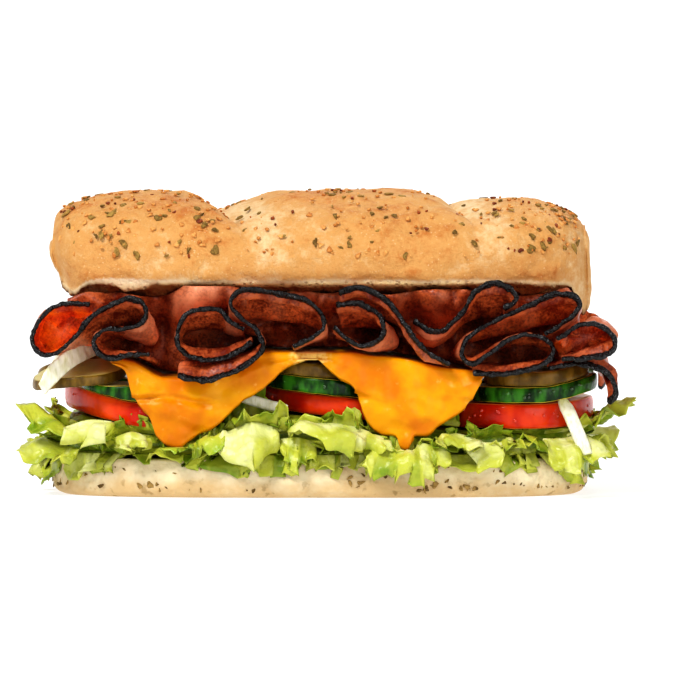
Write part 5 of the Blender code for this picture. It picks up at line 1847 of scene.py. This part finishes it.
FRONT_LEAVES = (
    Leaf(((-70.0, -30.0, 17.0), (-74.0, -27.0, 18.5), (-77.0, -22.0, 20.0)),
         ((-0.75, -0.6, 0.3), (-1.0, -0.15, 0.5), (-0.8, 0.3, 0.8)), 16.5, -0.6, 2.6, 6.5, 1.4, 0.6, 301),
    Leaf(((-72.0, -30.0, 13.5), (-76.0, -24.0, 14.5), (-78.0, -16.0, 15.5)),
         ((-0.5, -0.7, -0.2), (-1.0, -0.4, 0.0), (-1.0, 0.1, 0.1)), 13.5, -0.7, 2.6, 6.5, 1.4, 0.4, 302),
    Leaf(((-75.5, -37.8, 20.5), (-69.0, -38.6, 22.5), (-62.5, -38.2, 22.0)),
         ((-0.35, -0.45, -0.85), (0.05, -0.55, -0.8), (0.35, -0.45, -0.8)), 8.0, -0.9, 0.6, 11.0, 0.35, 0.0,
         303),
    Leaf(((-61.0, -38.0, 17.5), (-56.5, -38.8, 19.0), (-52.5, -38.2, 17.5)),
         ((-0.5, -0.6, -0.2), (0.1, -0.8, -0.3), (0.6, -0.5, -0.4)), 7.5, -1.0, 1.6, 6.0, 0.8, 0.25, 310),
    Leaf(((-47.0, -37.5, 17.5), (-40.0, -38.6, 18.6), (-32.5, -38.0, 17.5)),
         ((-0.4, -0.6, -0.3), (0.0, -0.8, -0.5), (0.4, -0.6, -0.4)), 8.5, -0.7, 2.4, 5.0, 1.6, 0.85, 311),
    Leaf(((-29.0, -38.4, 19.0), (-22.5, -39.6, 21.8), (-16.5, -38.6, 20.5)),
         ((-0.5, -0.5, -0.7), (0.0, -0.7, -0.75), (0.35, -0.5, -0.8)), 15.0, -1.0, 0.6, 12.0, 0.5, 0.05, 304),
    Leaf(((-26.5, -36.6, 18.0), (-20.0, -37.4, 18.6), (-13.0, -36.8, 19.5)),
         ((-0.5, -0.4, 0.9), (0.0, -0.5, 1.0), (0.4, -0.4, 0.9)), 9.5, -0.9, 1.9, 5.5, 1.4, 0.6, 309),
    Leaf(((-14.0, -38.0, 17.0), (-9.0, -38.8, 17.4), (-4.5, -38.4, 16.0)),
         ((-0.3, -0.55, -0.7), (0.0, -0.6, -0.8), (0.3, -0.5, -0.7)), 10.0, -0.6, 1.7, 5.0, 1.5, 0.6, 312),
    Leaf(((11.0, -38.2, 16.5), (21.0, -39.4, 16.5), (32.0, -38.4, 15.0)),
         ((-0.5, -0.5, -0.6), (0.0, -0.65, -0.75), (0.45, -0.5, -0.6)), 14.0, -0.6, 2.2, 6.5, 1.8, 0.45, 305),
    Leaf(((-9.0, -38.6, 18.5), (-3.0, -39.8, 21.5), (7.0, -39.8, 20.5), (16.0, -38.8, 17.0)),
         ((-0.7, -0.6, 0.1), (-0.3, -0.8, -0.2), (0.1, -0.7, -0.5), (0.6, -0.5, -0.4)), 11.0, -1.1, 1.3, 9.0,
         0.9,
         0.25, 306),
    Leaf(((-2.0, -37.6, 19.0), (3.0, -38.4, 20.0), (8.0, -38.0, 19.0)),
         ((-0.5, -0.4, 0.9), (0.0, -0.5, 0.9), (0.5, -0.4, 0.8)), 6.5, -0.5, 1.6, 5.0, 1.3, 0.65, 313),
    Leaf(((31.0, -38.0, 17.0), (36.0, -39.0, 18.5), (41.5, -38.4, 17.0)),
         ((-0.5, -0.7, 0.0), (0.1, -0.8, -0.2), (0.6, -0.6, -0.3)), 8.0, -0.9, 1.7, 6.0, 1.2, 0.25, 314),
    Leaf(((41.0, -38.0, 16.0), (45.0, -38.8, 16.0), (49.0, -38.2, 16.0)),
         ((-0.4, -0.5, -0.7), (-0.1, -0.6, -0.9), (0.3, -0.5, -0.7)), 8.5, -0.5, 0.9, 7.0, 0.7, 0.1, 315),
    Leaf(((61.0, -37.6, 17.0), (67.0, -35.4, 17.0), (72.0, -29.0, 18.0)),
         ((-0.1, -0.75, -0.5), (0.55, -0.75, -0.35), (0.9, -0.3, 0.1)), 15.5, -0.7, 2.0, 7.5, 1.3, 0.2, 307),
    Leaf(((68.0, -28.0, 17.5), (72.0, -22.0, 19.0), (74.0, -12.0, 20.0)),
         ((0.6, -0.7, 0.5), (0.9, -0.3, 0.6), (0.8, 0.3, 0.7)), 17.0, -0.4, 2.4, 6.5, 1.4, 0.4, 308),
)


def lettuce_leaves() -> tuple[list[Leaf], list[Leaf]]:
    """Every leaf, those toward the front first and those toward the back second."""
    front, back = [*FRONT_LEAVES, *TUCKED_LEAVES[:2]], list(TUCKED_LEAVES[2:])
    for skirt in SKIRTS:
        for leaf in skirt.leaves():
            (front if leaf.base[len(leaf.base) // 2][1] < 0.0 else back).append(leaf)
    return front, back


def discs() -> list[Disc]:
    """Every round slice, front and back."""
    tomato = SliceFinish()
    cucumber = SliceFinish("cucumber_finish", srgb(62, 132, 30), srgb(6, 38, 4), srgb(214, 216, 130),
                           srgb(196, 206, 110), srgb(232, 202, 60), 3.4, 0.26, 0.06)
    pickle = SliceFinish("pickle_finish", srgb(132, 100, 32), srgb(82, 60, 10), srgb(204, 190, 112),
                         srgb(192, 178, 96), srgb(152, 124, 44), 3.0, 0.32, 0.08)
    front_y = -1.5
    found = [
        Disc("tomato_left", ("tomato_1",), "tomato", tomato, (-50.0, front_y), (27.0, 33.5),
             lambda x, y: LAYOUT.tomato_low(0, x), lambda x: x * 0.0 + 6.8),
        Disc("tomato_middle", ("tomato_2",), "tomato", tomato, (4.4, front_y), (26.2, 33.5),
             lambda x, y: LAYOUT.tomato_low(1, x), lambda x: x * 0.0 + 5.8),
        Disc("tomato_right", ("tomato_3",), "tomato", tomato, (53.8, front_y), (22.6, 33.0),
             lambda x, y: LAYOUT.tomato_low(2, x), lambda x: x * 0.0 + 7.1),
    ]
    rounds = (
        ("cucumber", 1, cucumber, -57.5, 14.0, lambda x, y: LAYOUT.cucumber_low(0, x),
         lambda x: np.clip(32.2 - LAYOUT.cucumber_low(0, x), 2.4, 5.4)),
        ("cucumber", 3, cucumber, -1.0, 18.0, lambda x, y: LAYOUT.cucumber_low(1, x),
         lambda x: x * 0.0 + 4.5),
        ("cucumber", 5, cucumber, 58.7, 18.2, lambda x, y: LAYOUT.cucumber_low(2, x),
         lambda x: x * 0.0 + 4.5),
        ("pickle", 1, pickle, -72.0, 13.6,
         lambda x, y: 31.7 + 0.15 * (36.0 - np.abs(y)) + 0.06 * (x + 76.0) - 0.25 * ramp(-77.0 - x, 1.5),
         lambda x: x * 0.0 + 2.9),
        ("pickle", 3, pickle, -5.5, 12.6, lambda x, y: LAYOUT.cucumber_low(1, x) + 4.85,
         lambda x: x * 0.0 + 3.6),
        ("pickle", 5, pickle, 59.4, 15.1, lambda x, y: LAYOUT.cucumber_low(2, x) + 4.85,
         lambda x: x * 0.0 + 3.9),
    )
    for kind, number, finish, centre, radius, low, thickness in rounds:
        for twin, side in ((0, -1.0), (1, 1.0)):
            y = side * (36.8 - radius)
            found.append(Disc(f"{kind}_slice_{number + twin}", (f"{kind}_{number + twin}",), kind, finish,
                              (centre, y), (radius, radius), low, thickness, 0.012, number + twin))
    return found


def sandwich() -> list[Piece]:
    """Every piece of the sandwich, in building order."""
    crown, heel = Crown(), Heel()
    herb = FleckFinish()
    toasted = FleckFinish("toasted_finish", srgb(178, 104, 40), srgb(224, 168, 96), 0.6)
    charred = FleckFinish("charred_finish", srgb(80, 26, 14), srgb(160, 80, 34), 0.5)
    stained = FleckFinish("stained_finish", srgb(74, 52, 20), srgb(172, 138, 78), 0.7)
    pieces: list[Piece] = [crown, heel]
    pieces.append(Scatter("crust_herbs", (), "crust", herb, lambda: crown.sites(260, 71, 0.3), (1.7, 3.8),
                          (0.4, 0.8), 0.3, 72))
    pieces.append(Scatter("crust_crumbs", (), "crust", toasted, lambda: crown.sites(520, 73, 0.6), (0.7, 2.2),
                          (0.6, 1.0), 0.34, 74))
    pieces.append(Scatter("crust_chars", (), "crust", charred, lambda: crown.sites(90, 75, 0.85), (0.8, 2.3),
                          (0.5, 0.9), 0.36, 76))
    pieces.append(Scatter("base_herbs", (), "crumb", stained, lambda: heel.sites(170, 77), (0.6, 2.7),
                          (0.25, 0.7),
                          0.16, 78))
    slices = discs()
    pieces += slices
    for number, hem in enumerate(CHEESE_HEMS, 1):
        pieces.append(MeltedSlice(f"cheese_slice_{number}", (f"cheese_{number}",), "cheese", CheeseFinish(),
                                  hem))
    for number, bends in enumerate(MEAT_BENDS):
        pieces.append(MeatFold(f"meat_fold_{number + 1}", (f"meat_{number + 1}",), "meat", MeatFinish(),
                               bends,
                               43.5 + 0.5 * ((number * 2) % 5), 1.2, MEAT_GLOW[number], MEAT_LIT[number],
                               200 + 10 * number, MEAT_POCKETS.get(number)))
    for number, (path, width, thickness, across) in enumerate(ONIONS):
        for twin, side in ((1, 1.0), (2, -1.0)):
            turned = tuple((x, y * side, z) for x, y, z in path)
            pieces.append(OnionStrip(f"onion_strip_{2 * number + twin}", (f"onion_{2 * number + twin}",),
                                     "onion",
                                     OnionFinish(), turned, width, thickness,
                                     (across[0], across[1] * side, across[2])))
    front, back = lettuce_leaves()
    pieces.append(Lettuce("lettuce_front", ("lettuce",), "lettuce", LeafFinish(), tuple(front), CHEESE_HEMS))
    pieces.append(Lettuce("lettuce_back", (), "lettuce", LeafFinish(), tuple(back), CHEESE_HEMS, False))
    pieces.append(InnerMeat("meat_inner_folds", (), "meat", MeatFinish()))
    wet = {piece.name: piece for piece in slices}
    pieces.append(Drops("tomato_drops", (), "tomato",
                        SliceFinish("tomato_drop_finish", roughness=0.08, coat=1.0),
                        ((wet["tomato_right"], 22), (wet["tomato_left"], 12), (wet["tomato_middle"], 6))))
    green = replace(wet["cucumber_slice_5"].finish, name="cucumber_drop_finish", roughness=0.08, coat=1.0)
    pieces.append(Drops("cucumber_drops", (), "cucumber", green,
                        ((wet["cucumber_slice_5"], 16), (wet["cucumber_slice_3"], 6)), 62))
    return pieces


@dataclass(frozen=True)
class Studio:
    """Floor, light and camera.

    Attributes:
        scale: Millimetres in one photo pixel at the front of the sandwich.
        distance: From the camera to the sandwich, in millimetres.
        elevation: Height of the view above level, in degrees.
        aim: Point in the layout that the camera looks at.
        dimming: How much darker the sky is overhead than at the horizon.
        sky_front: Brightness of the sky on the camera's side.
        sky_behind: What the sky beyond the sandwich adds to that.
    """

    scale: float = 0.286
    distance: float = 2500.0
    elevation: float = 2.5
    aim: tuple[float, float, float] = (2.88, -37.5, 45.4)
    dimming: float = 0.5
    sky_front: float = 0.54
    sky_behind: float = 0.53

    def camera(self) -> None:
        """Adds the camera at the photo's viewing angle."""
        data = bpy.data.cameras.new("camera")
        data.sensor_width = 36.0
        data.lens = 36.0 * self.distance / (PHOTO_PIXELS * self.scale)
        data.clip_end = 20.0
        data.dof.use_dof = False
        item = bpy.data.objects.new("camera", data)
        aim = (np.array(self.aim) + frame_shift()) * MM
        tilt = math.radians(self.elevation)
        away = self.distance * MM * np.array([0.0, -math.cos(tilt), math.sin(tilt)])
        item.location = Vector(aim + away)
        item.rotation_euler = (math.pi / 2.0 - tilt, 0.0, 0.0)
        bpy.context.scene.collection.objects.link(item)
        bpy.context.scene.camera = item

    def sun(self, name: str, towards: tuple[float, float, float], spread: float, strength: float) -> None:
        """Adds one soft distant lamp.

        Args:
            name: The lamp's name.
            towards: Direction from the sandwich to the lamp.
            spread: Apparent size in degrees, which softens the shadows.
            strength: Light that it sheds.
        """
        data = bpy.data.lights.new(name, "SUN")
        data.angle = math.radians(spread)
        data.energy = strength
        item = bpy.data.objects.new(name, data)
        item.rotation_euler = Vector(towards).to_track_quat("Z", "Y").to_euler()
        bpy.context.scene.collection.objects.link(item)

    def floor(self) -> None:
        """Adds the plain pale floor."""
        mesh = bpy.data.meshes.new("floor")
        reach = 6.0
        mesh.from_pydata([(-reach, -reach, 0.0), (reach, -reach, 0.0), (reach, reach, 0.0),
                          (-reach, reach, 0.0)], [],
                         [(0, 1, 2, 3)])
        mesh.materials.append(FloorFinish().material())
        item = bpy.data.objects.new("floor", mesh)
        bpy.context.scene.collection.objects.link(item)

    def build(self) -> None:
        """Adds the camera, the floor and the light."""
        scene = bpy.context.scene
        self.camera()
        self.floor()
        scene.world = bpy.data.worlds.new("studio")
        graph = Graph(scene.world)
        way = graph.node("ShaderNodeTexCoord", {}, {}, "Generated", Kind.VECTOR)
        height = graph.node("ShaderNodeSeparateXYZ", {}, {"Vector": way}, "Z")
        behind = graph.node("ShaderNodeSeparateXYZ", {}, {"Vector": way}, "Y")
        strength = (1.0 - height.between(0.1, 0.4)
                    * self.dimming) * (self.sky_front + behind.between(0.3, 0.9) * self.sky_behind)
        sky = graph.node("ShaderNodeBackground", {}, {"Color": (1.0, 1.0, 1.0), "Strength": strength})
        output = graph.tree.nodes.new("ShaderNodeOutputWorld")
        graph.tree.links.new(sky.socket, output.inputs["Surface"])
        self.sun("key", (-0.4, -0.6, 0.76), 22.0, 2.5)
        self.sun("fill", (0.5, -0.85, 0.3), 40.0, 0.8)
        self.sun("rim", (0.25, 0.7, 0.75), 30.0, 0.8)
        scene.view_settings.view_transform = "Standard"
        scene.view_settings.look = "Medium High Contrast"
        log.info("studio: camera %.0f mm away at %.1f degrees", self.distance, self.elevation)


def main() -> None:
    """Builds every piece and sets the studio."""
    logging.basicConfig(level=logging.INFO, format="%(name)s: %(message)s")
    for piece in sandwich():
        piece.build()
    Studio().build()


if __name__ == "__main__":
    main()
